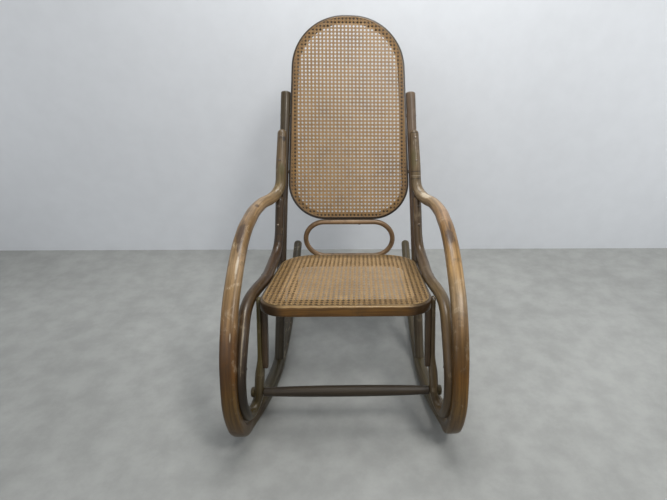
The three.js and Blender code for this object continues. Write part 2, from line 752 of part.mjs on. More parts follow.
Object.entries(sides).forEach(([label, side]) => {
  const outward = X_AXIS.clone().multiplyScalar(side);
  const inward = outward.clone().negate();
  const beside = (point, radius) => point.clone().addScaledVector(outward, radius);
  const names = ['post', 'arm_runner', 'scroll', 'leg_block'].map((name) => `${label}_${name}`);
  const [postName, armName, scrollName, legName] = names;

  const postLine = new THREE.LineCurve3(postPoint(side, postFootHeight), postPoint(side, postTopHeight));
  const postSize = () => postRadius;
  const post = (swell) => bentRod(postLine, postSize, postSize, { swell });
  const arm = armCurve(side);
  const stops = [shareAtPlace(arm, treadStart), shareAtPlace(arm, treadEnd)];
  const armRod = (swell, from = 0) => bentRod(arm, armWide, armThick, { swell, from, stops });
  const scroll = scrollCurve(side);
  const scrollRod = (swell) => bentRod(scroll, scrollWide, scrollThick, { swell });
  const legLine = new THREE.CatmullRomCurve3(tailLine(side, tailInset).slice(2), false, 'centripetal');
  const legSize = [() => legBlockWidth / 2, () => legBlockDepth / 2];
  const leg = bentRod(legLine, ...legSize, { domed: false, corners: blockCornerCount });
  const [postTool, armTool, scrollTool] = [post(clearance), armRod(clearance), scrollRod(clearance)];
  const tenonTool = frontStretcher(clearance);

  put(postName, cut(post(0), armRod(clearance, runnerStartShare)), postWood());
  put(armName, cut(armRod(0), postTool, floorSlab, rearStretcher(clearance)), armWood());
  put(scrollName, cut(scrollRod(0), postTool, armTool, seatRing(clearance), tenonTool), scrollWood());
  put(legName, cut(leg, scrollTool, seatRing(clearance)), railWood());
  trim('seat_ring', postTool);

  // The button outside the scroll's tail, on the stretcher's tenon.
  const buttonStart = new THREE.Vector3(side * stretcherHalfSpread, stretcherSetBack, stretcherHeight);
  const buttonRim = scrollBottomRadius + buttonThickness;
  const button = turned(buttonStart, outward, [
    [0, buttonRadius],
    [buttonRim - buttonThickness * (1 - buttonEdgeShare), buttonRadius],
    [buttonRim, buttonRadius * buttonCrownShare],
  ]);
  put(`${label}_stretcher_button`, cut(button, scrollTool, tenonTool), railWood());

  // The back's ring is held off its posts by saddle washers.
  Object.entries(backScrewHeights).forEach(([level, height]) => {
    const centre = postPoint(side, height);
    const washerStart = beside(centre, washerInset - postRadius);
    const washerName = `${label}_${level}_back_washer`;
    const washer = turned(washerStart, inward, [[0, washerRadius], [washerInset + backGap, washerRadius]]);
    put(washerName, cut(washer, postTool, backRing(clearance)), steel());
    const through = [postName, washerName, 'back_ring'];
    fasten(`${label}_${level}_back_screw`, beside(centre, postRadius), inward, 2 * postRadius, ...through);
  });

  // Two rods side by side, screwed through the first one into the second.
  const fastenPair = (name, first, second, radius, ...through) => {
    const direction = second.clone().sub(first).normalize();
    const surface = first.clone().addScaledVector(direction, -radius);
    fasten(`${label}_${name}`, surface, direction, 2 * radius, ...through);
  };
  Object.entries(armScrewDrops).forEach(([level, drop]) => {
    const height = armEndHeight - drop;
    const [lapPoint, radius] = [armLapPoint(side, height), armLapRadiusAt(height)];
    fastenPair(`${level}_arm_screw`, lapPoint, postPoint(side, height), radius, armName, postName);
  });
  Object.entries(scrollScrewHeights).forEach(([level, height]) => {
    const [lapPoint, radius] = [scrollLapPoint(side, height), scrollEndRadius];
    fastenPair(`${level}_scroll_screw`, lapPoint, postPoint(side, height), radius, scrollName, postName);
  });
  const bowPoint = scrollPoint(side, scrollArmShares);
  fastenPair('bow_screw', bowPoint, nearestOn(arm, bowPoint), scrollHalfWidth, scrollName, armName);
  const footPoint = postPoint(side, footScrewRecess);
  const upPost = postPoint(side, postSeatHeight).sub(footPoint).normalize();
  fasten(`${label}_foot_screw`, footPoint, upPost, 2 * armHalfThickness, armName, postName);

  // The post, the scroll and its tail on the seat's side, and the leg block on the tail.
  const postSpot = beside(postPoint(side, postSeatHeight), postRadius);
  fasten(`${label}_post_seat_screw`, postSpot, inward, 2 * postRadius, postName, 'seat_ring');
  const scrollSpot = scrollPoint(side, scrollSeatShares);
  const alongSeat = scrollSpot.y / Math.cos(seatTilt);
  const ringSpot = onSeat(side * (seatHalfWidthAt(alongSeat) - seatRingBreadth / 2), alongSeat, 0);
  fastenPair('scroll_seat_screw', scrollSpot, ringSpot, scrollHalfWidth, scrollName, 'seat_ring');
  const tailSpot = beside(tailPoint(side, -clearance), tailTipHalfWidth);
  const tailDepth = 2 * tailTipHalfWidth;
  fasten(`${label}_tail_seat_screw`, tailSpot, inward, tailDepth, scrollName, 'seat_ring');
  const legSpot = beside(tailLinePoint(side, tailLegShares), tailTipHalfWidth);
  fasten(`${label}_leg_screw`, legSpot, inward, tailDepth - legScrewRelief, scrollName, legName);
});

// The loop, under the back's ring and behind the seat's.
const loopUnderside = onBack(loopTopScrewPlace, backEnds[0] - 2 * loopRodRadius - clearance, 0);
fasten('loop_top_screw', loopUnderside, backAlong, 2 * loopRodRadius, 'back_loop', 'back_ring');
Object.entries(loopFootScrewPlaces).forEach(([label, place]) => {
  const behind = onLoop(place, 0, 0).addScaledVector(seatAlong, loopRodRadius);
  const forward = seatAlong.clone().negate();
  fasten(`loop_${label}_foot_screw`, behind, forward, 2 * loopRodRadius, 'back_loop', 'seat_ring');
});

// The chair stands on the floor, centred on its whole size.
const chair = new THREE.Group();
pieces.forEach(({ solid, material }, name) => {
  const mesh = new THREE.Mesh(toGeometry(solid), material);
  mesh.name = name;
  chair.add(mesh);
});
const extent = new THREE.Box3().setFromObject(chair);
const centre = extent.getCenter(new THREE.Vector3());
chair.children.forEach((mesh) => mesh.geometry.translate(-centre.x, -centre.y, -extent.min.z));

export default chair;
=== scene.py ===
# %% [markdown]
# A bentwood rocking chair, from a beech-turner's bench
#
# The chair is an old one: long beech rods, steamed and bent, carry a caned seat and a caned back.
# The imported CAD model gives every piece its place. This file dresses it: smooth rods instead of
# twelve-sided ones, real woven cane instead of a coarse net, and worn varnish over all of it.
# Lengths in the helpers are written in millimetres and turned into metres by MM. Left and right are
# the sitter's, so the left side has the positive X.

import math

import bmesh
import bpy
import numpy as np
from mathutils import Matrix, Vector


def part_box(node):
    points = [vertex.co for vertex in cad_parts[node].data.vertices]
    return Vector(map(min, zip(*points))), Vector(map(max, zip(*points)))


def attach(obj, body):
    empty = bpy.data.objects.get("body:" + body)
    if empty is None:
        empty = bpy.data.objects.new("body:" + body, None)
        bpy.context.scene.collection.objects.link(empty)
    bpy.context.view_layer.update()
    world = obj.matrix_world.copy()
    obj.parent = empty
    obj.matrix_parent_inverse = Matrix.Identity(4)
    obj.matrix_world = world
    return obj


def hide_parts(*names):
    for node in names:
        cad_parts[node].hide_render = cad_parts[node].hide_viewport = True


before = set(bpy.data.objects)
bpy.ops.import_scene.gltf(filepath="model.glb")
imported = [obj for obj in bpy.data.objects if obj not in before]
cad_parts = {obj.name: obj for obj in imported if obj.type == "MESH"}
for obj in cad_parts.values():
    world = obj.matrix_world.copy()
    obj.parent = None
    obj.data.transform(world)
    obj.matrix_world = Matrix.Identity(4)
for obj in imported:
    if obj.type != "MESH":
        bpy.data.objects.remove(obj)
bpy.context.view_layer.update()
bpy.ops.object.select_all(action="DESELECT")
scene = bpy.context.scene
MM = 0.001
SIDES = (("left", 1), ("right", -1))
made = {}
print("CAD nodes:", len(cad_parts))


def keep(piece, node):
    """Keeps a new piece for its finish, in place of a CAD node."""
    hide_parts(node)
    made[piece.name] = piece
    return piece


# %% [markdown]
# Where the seat's front edge is
#
# The CAD source measures along Y from the seat's front edge and centres the chair at the end.
# The front stretcher is a piece whose place from that edge is known, so its box gives the shift back.

# %% The shift from the seat's front edge to the shared frame
STRETCHER_PLACE = -22
low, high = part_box("front_stretcher")
front_edge = (low.y + high.y) / 2 / MM - STRETCHER_PLACE
print("seat's front edge at y = %.1f mm" % front_edge)


def to_frame(points):
    """Points in millimetres from the seat's front edge, as metres in the shared frame."""
    return (np.asarray(points, float) + [0, front_edge, 0]) * MM


# %% [markdown]
# The seat's plane, the back's plane and the posts
#
# The seat falls towards the back and the back leans away from it. Nearly every place on the chair is
# easiest to give on one of these two planes, so each gets a small function that turns
# (across, along, up) on the plane into a point. The posts lie in the back's plane.

# %% Planes and posts
SEAT_TILT, BACK_LEAN = math.radians(11.8), math.radians(25.5)
SEAT_FRONT_HEIGHT, SEAT_LENGTH, SEAT_THICK = 419, 483, 29
SEAT_FRONT_HALF, SEAT_REAR_HALF = 232, 224
SEAT_FRONT_CORNER, SEAT_REAR_CORNER = 76, 110
BACK_PLACE, POST_RADIUS, POST_TOP, POST_TOP_HALF = 258, 15.5, 842, 209
LAP = 0.8

seat_along = np.array([0, math.cos(SEAT_TILT), -math.sin(SEAT_TILT)])
seat_up = np.array([0, math.sin(SEAT_TILT), math.cos(SEAT_TILT)])
seat_corner = np.array([0, 0, SEAT_FRONT_HEIGHT]) - seat_up * SEAT_THICK / 2
back_along = np.array([0, math.sin(BACK_LEAN), math.cos(BACK_LEAN)])
back_facing = np.array([0, -math.cos(BACK_LEAN), math.sin(BACK_LEAN)])
across = np.array([1.0, 0, 0])


def on_seat(x, along, up):
    return seat_corner + across * x + seat_along * along + seat_up * up


def on_back(x, along, facing):
    return np.array([0, BACK_PLACE, 0]) + across * x + back_along * along + back_facing * facing


def blend(a, b, share):
    return a + (b - a) * share


def seat_half_at(along):
    return blend(SEAT_FRONT_HALF, SEAT_REAR_HALF, along / SEAT_LENGTH)


lean = math.tan(BACK_LEAN)
post_seat_place = ((BACK_PLACE + seat_corner[2] * lean - seat_corner[1])
                   / (math.cos(SEAT_TILT) + math.sin(SEAT_TILT) * lean))
post_seat_height = on_seat(0, post_seat_place, 0)[2]
corner_entry = max(0, post_seat_place - SEAT_LENGTH + SEAT_REAR_CORNER)
corner_draw = SEAT_REAR_CORNER - math.sqrt(SEAT_REAR_CORNER**2 - corner_entry**2)
post_seat_half = seat_half_at(post_seat_place) - corner_draw + POST_RADIUS - LAP


def post_half_at(height):
    slope = (POST_TOP_HALF - post_seat_half) / (POST_TOP - post_seat_height)
    return post_seat_half + (height - post_seat_height) * slope


def post_point(side, height):
    return on_back(side * post_half_at(height), height / math.cos(BACK_LEAN), 0)


def beside_post(side, height, radius, turn_share):
    turn = turn_share * math.pi / 2
    reach = POST_RADIUS + radius - LAP
    sideways = across * side * reach * math.cos(turn)
    return post_point(side, height) + sideways + back_facing * reach * math.sin(turn)


print("the posts meet the seat %.0f mm behind its front edge" % post_seat_place)

# %% [markdown]
# A steamed rod follows a smooth line
#
# A bent rod has no corners: the wood gives way little by little. A line drawn through given points
# with centripetal spacing bends like that and never loops, so the rods use it. The line is cut into
# even steps, because the rings of wood and its grain both run along it at an even pace.

# %% The line through given points
def bent_line(points, step=4.0):
    """Evenly spaced points, and their directions, along a smooth line through the given points."""
    p = np.asarray(points, float)
    p = np.vstack([2 * p[0] - p[1], p, 2 * p[-1] - p[-2]])
    fine = []
    for a, b, c, d in zip(p, p[1:], p[2:], p[3:]):
        t0, t1, t2 = (max(np.linalg.norm(v) ** 0.5, 1e-3) for v in (b - a, c - b, d - c))
        start = ((b - a) / t0 - (c - a) / (t0 + t1) + (c - b) / t1) * t1
        end = ((c - b) / t1 - (d - b) / (t1 + t2) + (d - c) / t2) * t1
        w = np.linspace(0, 1, 40, endpoint=False)[:, None]
        fine.append((2 * w**3 - 3 * w**2 + 1) * b + (w**3 - 2 * w**2 + w) * start
                    + (3 * w**2 - 2 * w**3) * c + (w**3 - w**2) * end)
    fine = np.vstack([*fine, p[-2:-1]])
    gone = np.concatenate([[0], np.cumsum(np.linalg.norm(np.diff(fine, axis=0), axis=1))])
    even = np.linspace(0, gone[-1], max(8, int(gone[-1] / step)) + 1)
    line = np.stack([np.interp(even, gone, fine[:, k]) for k in range(3)], 1)
    heading = np.gradient(line, axis=0)
    return line, heading / np.linalg.norm(heading, axis=1)[:, None], even


def eased(pairs):
    """A size along a rod, from [share of its length, size] pairs, eased from one to the next."""
    def size(share):
        now = pairs[0][1]
        for (start, _), (end, target) in zip(pairs, pairs[1:]):
            if share > start:
                w = min(1, (share - start) / (end - start))
                now = blend(now, target, w * w * (3 - 2 * w))
        return now
    return size


# %% [markdown]
# Rods, laid ring by ring
#
# The real rods are oval and change size along their length, and they stay level with the chair's
# width however they bend. A bevelled curve twists and keeps one section, and Spin can't leave its
# plane. So a circle is added once, then extruded again and again, and each new ring is set on its own
# place. Every point also remembers how far along the rod it is, which is what the grain follows.

# %% Lay rings with the extrude tool
SHARP = math.radians(40)


def lay_rings(name, rings, grains, closed=False):
    """Extrudes one ring from place to place. Rings are in metres; grains are (along, side, up)."""
    bpy.ops.object.select_all(action="DESELECT")
    bpy.ops.mesh.primitive_circle_add(vertices=len(rings[0]), radius=1)
    piece = bpy.context.object
    piece.name = piece.data.name = name
    bpy.ops.object.mode_set(mode="EDIT")
    mesh = bmesh.from_edit_mesh(piece.data)
    place = mesh.verts.layers.int.new("place")
    mesh.verts.layers.float_vector.new("grain")
    for i, vert in enumerate(mesh.verts):
        vert[place] = i

    def settle(ring, grain):
        mesh = bmesh.from_edit_mesh(piece.data)
        place = mesh.verts.layers.int["place"]
        note = mesh.verts.layers.float_vector["grain"]
        for vert in mesh.verts:
            if vert.select:
                vert.co = ring[vert[place]]
                vert[note] = grain[vert[place]]

    settle(rings[0], grains[0])
    for ring, grain in zip(rings[1:], grains[1:]):
        bpy.ops.mesh.extrude_region_move()
        settle(ring, grain)
    bpy.ops.mesh.select_all(action="DESELECT")
    bpy.ops.mesh.select_non_manifold()
    if closed:
        bpy.ops.mesh.bridge_edge_loops()
    else:
        bpy.ops.mesh.edge_face_add()
        bpy.ops.mesh.select_mode(type="FACE")
        bpy.ops.mesh.poke()
        bpy.ops.mesh.select_mode(type="VERT")
    bpy.ops.mesh.select_all(action="SELECT")
    bpy.ops.mesh.normals_make_consistent(inside=False)
    bpy.ops.object.mode_set(mode="OBJECT")
    bpy.ops.object.shade_smooth_by_angle(angle=SHARP)
    return piece


# %% [markdown]
# The oval section
#
# A rod is turned round, then spoke-shaved a little squarer where hands and floor wear it. One formula
# covers both: a superellipse, round at a power of two and squarer above it. The ends are domed, with
# rings that close in like the end of a broom handle; a sawn end keeps its size.

# %% From a line to rings
SAWN_BACK, SAWN_SHARE = 0.6, 0.96
DOME_ANGLES = np.radians([7, 24, 42, 60, 76])


def circle(sides):
    turns = (np.arange(sides) + 0.5) / sides * 2 * math.pi
    return np.cos(turns), np.sin(turns)


def rod(name, points, wide, thick, sides=28, power=lambda share: 2.0, sawn=False,
        spacing=11.0, floor=None, reach=1.0, crown=1.0):
    """A bent rod through the points; wide and thick give its half sizes, in mm, along its length."""
    line, heading, gone = bent_line(points)
    total = gone[-1]
    end = reach * total
    first, last = (SAWN_BACK, SAWN_BACK) if sawn else (crown * thick(0), crown * thick(1))
    count = max(2, int((end - first - last) / spacing))
    places = [(d, 1.0) for d in np.linspace(first, end - last, count + 1)]
    if sawn:
        places = [(0.0, SAWN_SHARE), *places, (end, SAWN_SHARE)]
    else:
        places = ([(first * (1 - math.cos(a)), math.sin(a)) for a in DOME_ANGLES] + places
                  + [(end - last * (1 - math.cos(a)), math.sin(a)) for a in DOME_ANGLES[::-1]])
    c, s = circle(sides)
    rings, grains = [], []
    for distance, scale in places:
        share = distance / total
        centre = np.array([np.interp(distance, gone, line[:, k]) for k in range(3)])
        ahead = np.array([np.interp(distance, gone, heading[:, k]) for k in range(3)])
        ahead /= np.linalg.norm(ahead)
        side = across - ahead * ahead[0]
        side /= np.linalg.norm(side)
        up = np.cross(ahead, side)
        bend = 2 / power(share)
        a = np.sign(c) * np.abs(c) ** bend * wide(share) * scale
        b = np.sign(s) * np.abs(s) ** bend * thick(share) * scale
        ring = centre + a[:, None] * side + b[:, None] * up
        if floor is not None:
            ring[:, 2] = np.maximum(ring[:, 2], floor)
        rings.append(to_frame(ring))
        grains.append(np.stack([np.full(sides, distance), a, b], 1) * MM)
    return lay_rings(name, rings, grains)


def straight(a, b, parts=6):
    return [blend(np.asarray(a, float), np.asarray(b, float), i / parts) for i in range(parts + 1)]


# %% [markdown]
# The runner's arc and the foot of the post
#
# A rocker's runner is an arc, flatter before the middle than behind it, with a short worn tread that
# it rests on. The post stands on it, so the place of the post's foot is found first; the runner draws
# inward from its bow to that foot and on to its tip.

# %% The runner's line
RUNNER_FRONT_RADIUS, RUNNER_REAR_RADIUS = 1500, 1010
TREAD, TREAD_HALF, RUNNER_TAIL, RUNNER_TIP_HALF = 308, 45, 592, 237
BOW_REACH, BOW_DRAW, ARM_THICK = 25, 5, 18
SCROLL_OFF, ARM_OFF = 33, 24.5

arm_half = SEAT_FRONT_HALF + SCROLL_OFF + ARM_OFF
tread_start, tread_end = TREAD - TREAD_HALF, TREAD + TREAD_HALF
tip_place = TREAD + RUNNER_TAIL


def runner_height(place):
    before, behind = max(0, tread_start - place), max(0, place - tread_end)
    return ARM_THICK - 1 + (before**2 / RUNNER_FRONT_RADIUS + behind**2 / RUNNER_REAR_RADIUS) / 2


post_foot_height = runner_height(BACK_PLACE)
post_foot_place = post_point(1, post_foot_height)[1]
post_foot_half = post_half_at(post_foot_height)


def runner_point(side, place):
    drawn = (post_foot_place - place) / (post_foot_place + BOW_REACH)
    past = (place - post_foot_place) / (tip_place - post_foot_place)
    if drawn > 0:
        spread = blend(post_foot_half, arm_half - BOW_DRAW, drawn**1.6)
    else:
        spread = blend(post_foot_half, RUNNER_TIP_HALF, past)
    return [side * spread, place, runner_height(place)]


print("each post stands %.0f mm from the middle" % post_foot_half)

# %% [markdown]
# Arm and runner: one rod, 2.4 metres long
#
# On the real chair the arm doesn't stop at its front: it turns down, under and back, and goes on as
# the runner. It begins as a tapered lap before the post, leaves it outward, runs level as the armrest
# and falls in a long bow. The line is drawn in shares of its main sizes, as in the CAD.

# %% The arms
ARM_HEIGHT, ARM_REACH, LAP_LIFT, LAP_LENGTH = 529, 115.5, 76, 117
ARM_END_RADIUS, LAP_FOOT_RADIUS, LAP_TURN, ARM_WIDE = 14.6, 17, 0.9, 20.5
arm_line = [
    (0.034, 1.07, 0.06), (0.074, 1.032, 0.24), (0.122, 1.02, 0.465), (0.171, 1.022, 0.7),
    (0.294, 1.025, 0.9), (0.391, 1.026, 0.915), (0.491, 1.02, 0.925), (0.607, 0.981, 0.94),
    (0.677, 0.934, 0.96), (0.739, 0.88, 0.98), (0.809, 0.812, 1), (0.884, 0.715, 1),
    (0.945, 0.597, 1), (0.985, 0.463, 1),
    (1, 0.367, 1), (0.997, 0.275, 0.97), (0.977, 0.198, 0.94), (0.934, 0.136, 0.92),
]
lap_foot = ARM_HEIGHT + LAP_LIFT
arm_end = lap_foot + LAP_LENGTH


def arm_points(side):
    points = []
    for share in (0, 1 / 3, 2 / 3, 1):
        height = blend(arm_end, lap_foot, share)
        radius = blend(ARM_END_RADIUS, LAP_FOOT_RADIUS, share)
        points.append(beside_post(side, height, radius, LAP_TURN))
    foot = points[-1]
    for forward, rise, flare in arm_line:
        points.append([side * blend(abs(foot[0]), arm_half, flare),
                       blend(foot[1], -ARM_REACH, forward), ARM_HEIGHT * rise])
    places = [blend(-BOW_REACH, tread_start, w) for w in (0, 0.3, 0.6, 0.85)]
    places += [tread_start, TREAD, tread_end]
    places += [blend(tread_end, tip_place, w) for w in (0.15, 0.4, 0.7, 1)]
    return points + [runner_point(side, place) for place in places]


arm_lap = [(0, ARM_END_RADIUS), (0.065, LAP_FOOT_RADIUS)]
arm_wide = eased(arm_lap + [(0.2, ARM_WIDE), (0.55, ARM_WIDE), (1, 17)])
arm_thick = eased(arm_lap + [(0.2, ARM_THICK), (0.85, ARM_THICK), (1, 15.5)])
arm_power = eased([(0, 2), (0.2, 2.2), (0.36, 3.0), (0.42, 4.2), (0.55, 4.2), (0.68, 2.6), (1, 2.1)])
for label, side in SIDES:
    piece = keep(rod(f"{label}_arm_and_runner", arm_points(side), arm_wide, arm_thick,
                     sides=32, power=arm_power, floor=0.0), f"{label}_arm_runner")
    print(piece.name, len(piece.data.polygons), "faces")

# %% [markdown]
# Posts
#
# The two posts are straight round rods that lean back and draw together. They grow a hair thicker
# above the arms and end nearly flat. Their feet end inside the runners, where a saddle cut would
# hide on the real chair too.

# %% The posts
POST_TOP_RADIUS = 16.2
post_thick = eased([(0, POST_RADIUS), (0.7, POST_RADIUS), (0.95, POST_TOP_RADIUS), (1, POST_TOP_RADIUS)])
for label, side in SIDES:
    ends = post_point(side, post_foot_height), post_point(side, POST_TOP)
    keep(rod(f"{label}_back_post", straight(*ends), post_thick, post_thick, spacing=24, crown=0.4),
         f"{label}_post")

# %% [markdown]
# Scrolls and leg blocks
#
# Inside each arm runs a second bent rod. It is pegged to the post, swings forward along the seat's
# side and curls down under itself; its tail is shaved flat and climbs back to the seat. Between the
# tail and the seat stands the leg block, a plain squared stick, sawn off below.

# %% The scrolls
SCROLL_END, SCROLL_LAP_FOOT, SCROLL_RADIUS, SCROLL_TURN = 524, 408, 14.2, 0.86
SCROLL_REACH, TAIL_OFF, TAIL_PLACE, TAIL_TIP, TAIL_LIFT = 102, 8, 88, 6.3, 9
SCROLL_FULL, SCROLL_BOTTOM, TAIL_THICK = 16.5, 13.5, 12.6
CLEAR, STRETCHER_Z, BLOCK_WIDE, BLOCK_DEEP = 0.3, 157, 16, 24
scroll_line = [
    (0.045, 0.918, 0.888), (0.1, 0.884, 0.901), (0.168, 0.874, 0.911), (0.272, 0.874, 0.916),
    (0.362, 0.884, 0.919), (0.462, 0.905, 0.936), (0.54, 0.918, 0.962), (0.654, 0.926, 0.992),
    (0.743, 0.905, 1), (0.815, 0.847, 1), (0.888, 0.764, 1), (0.951, 0.668, 1), (0.989, 0.568, 1),
    (1, 0.465, 0.998), (0.987, 0.375, 0.99),
]
scroll_turn = [(0.7, 0.81, 0.985), (0.375, 0.739, 0.965), (0.1, 0.815, 0.935)]
tail_line = [(0, 0, 0), (0.165, 0.123, 0.5), (0.336, 0.234, 0.9), (0.49, 0.396, 1),
             (0.636, 0.566, 1), (0.818, 0.77, 1), (1, 1, 1)]
scroll_half = SEAT_FRONT_HALF + SCROLL_OFF


def tail_points(side, inset=0.0):
    top = on_seat(seat_half_at(TAIL_PLACE) + CLEAR + TAIL_TIP, TAIL_PLACE, TAIL_LIFT)
    base = SEAT_FRONT_HALF + TAIL_OFF
    return [[side * (blend(base, top[0], draw) - inset), blend(STRETCHER_PLACE, top[1], back),
             blend(STRETCHER_Z, top[2], rise)] for back, rise, draw in tail_line]


def scroll_points(side):
    points = [beside_post(side, blend(SCROLL_END, SCROLL_LAP_FOOT, w), SCROLL_RADIUS, SCROLL_TURN)
              for w in (0, 0.5, 1)]
    foot = points[-1]
    for forward, rise, spread in scroll_line:
        points.append([side * scroll_half * spread, blend(foot[1], -SCROLL_REACH, forward),
                       SEAT_FRONT_HEIGHT * rise])
    for forward, rise, spread in scroll_turn:
        points.append([side * scroll_half * spread, blend(STRETCHER_PLACE, -SCROLL_REACH, forward),
                       STRETCHER_Z * rise])
    return points + tail_points(side)


scroll_front = [(0, SCROLL_RADIUS), (0.1, SCROLL_RADIUS), (0.2, SCROLL_FULL), (0.5, SCROLL_FULL)]
scroll_wide = eased(scroll_front + [(0.68, SCROLL_BOTTOM), (0.82, TAIL_THICK), (0.87, TAIL_TIP),
                                    (1, TAIL_TIP)])
scroll_thick = eased(scroll_front + [(0.7, SCROLL_BOTTOM), (1, TAIL_THICK)])
scroll_power = eased([(0, 2), (0.4, 2.1), (0.75, 2.2), (0.87, 4.5), (1, 5)])
block_inset = TAIL_TIP + BLOCK_WIDE / 2 - 0.2
for label, side in SIDES:
    keep(rod(f"{label}_curled_scroll", scroll_points(side), scroll_wide, scroll_thick,
             power=scroll_power, spacing=9), f"{label}_scroll")
    keep(rod(f"{label}_squared_leg", tail_points(side, block_inset)[2:], lambda w: BLOCK_WIDE / 2,
             lambda w: BLOCK_DEEP / 2, power=lambda w: 5.0, sawn=True, spacing=16, reach=0.93),
         f"{label}_leg_block")

# %% [markdown]
# Turned stretchers and buttons
#
# The stretchers and the two buttons came off a lathe. They are laid ring by ring too, along X, from
# a profile of places and radii; the front one swells towards its middle.

# %% Turned pieces
def turned(name, start, profile, sides=28):
    """A turned piece along X from a start, in mm; the profile holds (distance, radius) pairs."""
    y, z = circle(sides)
    rings = [np.stack([np.full(sides, float(distance)), radius * y, radius * z], 1)
             for distance, radius in profile]
    return lay_rings(name, [to_frame(start + ring) for ring in rings], [ring * MM for ring in rings])


TENON, FRONT_END, FRONT_MIDDLE, REAR_END, REAR_MIDDLE = 7, 11.5, 15.5, 9.5, 11
BUTTON, BUTTON_THICK, REAR_PLACE, REAR_TENON = 14, 8, 590, 14
tail_base = SEAT_FRONT_HALF + TAIL_OFF
front_shoulder = tail_base - SCROLL_BOTTOM - CLEAR
front_tenon = tail_base + SCROLL_BOTTOM + BUTTON_THICK / 2
rear_spot = runner_point(1, REAR_PLACE)
rear_shoulder = rear_spot[0] - ARM_WIDE - CLEAR


def swelling(half, end, middle, parts=14):
    """Pairs from end to end of a stretcher that swells gently towards its middle."""
    shares = [i / parts for i in range(parts + 1)]
    return [(half * (2 * w - 1), end + (middle - end) * (1 - abs(2 * w - 1) ** 2.4)) for w in shares]


for name, node, spot, shoulder, tenon, end, middle in (
        ("front_turned_stretcher", "front_stretcher", [0, STRETCHER_PLACE, STRETCHER_Z],
         front_shoulder, front_tenon, FRONT_END, FRONT_MIDDLE),
        ("rear_turned_stretcher", "rear_stretcher", [0, rear_spot[1], rear_spot[2]],
         rear_shoulder, rear_shoulder + REAR_TENON, REAR_END, REAR_MIDDLE)):
    body = swelling(shoulder - 1.2, end, middle)
    ends = [(-tenon, TENON - 1), (-tenon + 1, TENON), (-shoulder, TENON), (-shoulder, end - 1.2)]
    profile = ends + body + [(-a, b) for a, b in reversed(ends)]
    keep(turned(name, spot, profile), node)

inner, rim = SCROLL_BOTTOM - 3, SCROLL_BOTTOM + BUTTON_THICK
button = [(inner, BUTTON - 1), (inner + 0.6, BUTTON), (rim - 4, BUTTON), (rim - 2, BUTTON * 0.93),
          (rim - 0.7, BUTTON * 0.75), (rim, BUTTON * 0.45)]
for label, side in SIDES:
    keep(turned(f"{label}_button", [side * tail_base, STRETCHER_PLACE, STRETCHER_Z],
                [(side * a, b) for a, b in button]), f"{label}_stretcher_button")
print("rods and turned pieces:", len(made))

# %% [markdown]
# Closed rings: the seat, the back and the loop between them
#
# The seat and the back are caned rings, each bent from one flat rail, and a thinner round rod is bent
# to a stadium below the back. Their outlines are polygons with rounded corners. A section travels
# round the outline, one ring of points at each place, and the last is bridged to the first.

# %% Outlines with rounded corners
SAME_PLACE = 1e-6


def rounded(corners, turn_step=math.radians(4)):
    """Points of an outline with rounded corners, and the outward direction at each."""
    points, outs = [], []
    for i, (x, y, radius) in enumerate(corners):
        here = np.array([x, y], float)
        before = np.array(corners[i - 1][:2]) - here
        after = np.array(corners[(i + 1) % len(corners)][:2]) - here
        before, after = before / np.linalg.norm(before), after / np.linalg.norm(after)
        half = math.acos(float(before @ after)) / 2
        middle = (before + after) / np.linalg.norm(before + after)
        centre = here + middle * radius / math.sin(half)
        sweep = math.pi - 2 * half
        first = math.atan2(-middle[1], -middle[0]) - sweep / 2
        steps = max(3, math.ceil(sweep / turn_step))
        for k in range(steps + 1):
            angle = first + sweep * k / steps
            outs.append([math.cos(angle), math.sin(angle)])
            points.append(centre + radius * np.array(outs[-1]))
    return np.array(points), np.array(outs)


def rail_ring(name, outline, section, place):
    """A closed rail: the section's (outward, up) points travel round the outline on a plane.

    Where two corners touch, their ends are one place, and only one ring is laid there."""
    points, outs = outline
    steps = np.linalg.norm(np.roll(points, -1, axis=0) - points, axis=1)
    apart = steps > SAME_PLACE
    points, outs, steps = points[apart], outs[apart], steps[apart]
    gone = np.concatenate([[0], np.cumsum(steps)[:-1]])
    rings, grains = [], []
    for point, out, distance in zip(points, outs, gone):
        flat = point + out * section[:, :1]
        rings.append(to_frame([place(x, y, up) for (x, y), up in zip(flat, section[:, 1])]))
        grains.append(np.column_stack([np.full(len(section), distance), section]) * MM)
    return lay_rings(name, rings, grains, closed=True)


def rail_section(breadth, thickness, soft):
    """A rail's section with softened corners, its outer face at zero."""
    half = thickness / 2
    outline = [(-breadth, -half, 2), (0, -half, soft), (0, half, soft), (-breadth, half, 2)]
    return rounded(outline, math.radians(22))[0]


# %% [markdown]
# The three rings
#
# The back's ring fits between the posts with two millimetres of air, so its width at each height
# comes from theirs. The loop fills the gap between the two rings: its foot touches the seat's rear
# and its top the back's lower end.

# %% Seat ring, back ring and loop
SEAT_BREADTH, SEAT_RIM, BACK_BREADTH, BACK_THICK, BACK_RIM = 44, 7, 23, 20, 6.5
BACK_BOTTOM, BACK_TOP, TOP_CORNER, BOTTOM_CORNER, BACK_GAP = 455, 1068, 178, 122, 2
SEAT_SOFT, BACK_SOFT = 4.5, 3.6


def four_sided(low_end, high_end):
    """An even outline from two ends, each (half width, place, corner radius)."""
    (a, y, low_corner), (b, z, high_corner) = low_end, high_end
    return rounded([(-a, y, low_corner), (a, y, low_corner), (b, z, high_corner), (-b, z, high_corner)])


def back_half_at(height):
    return post_half_at(height) - POST_RADIUS - BACK_GAP


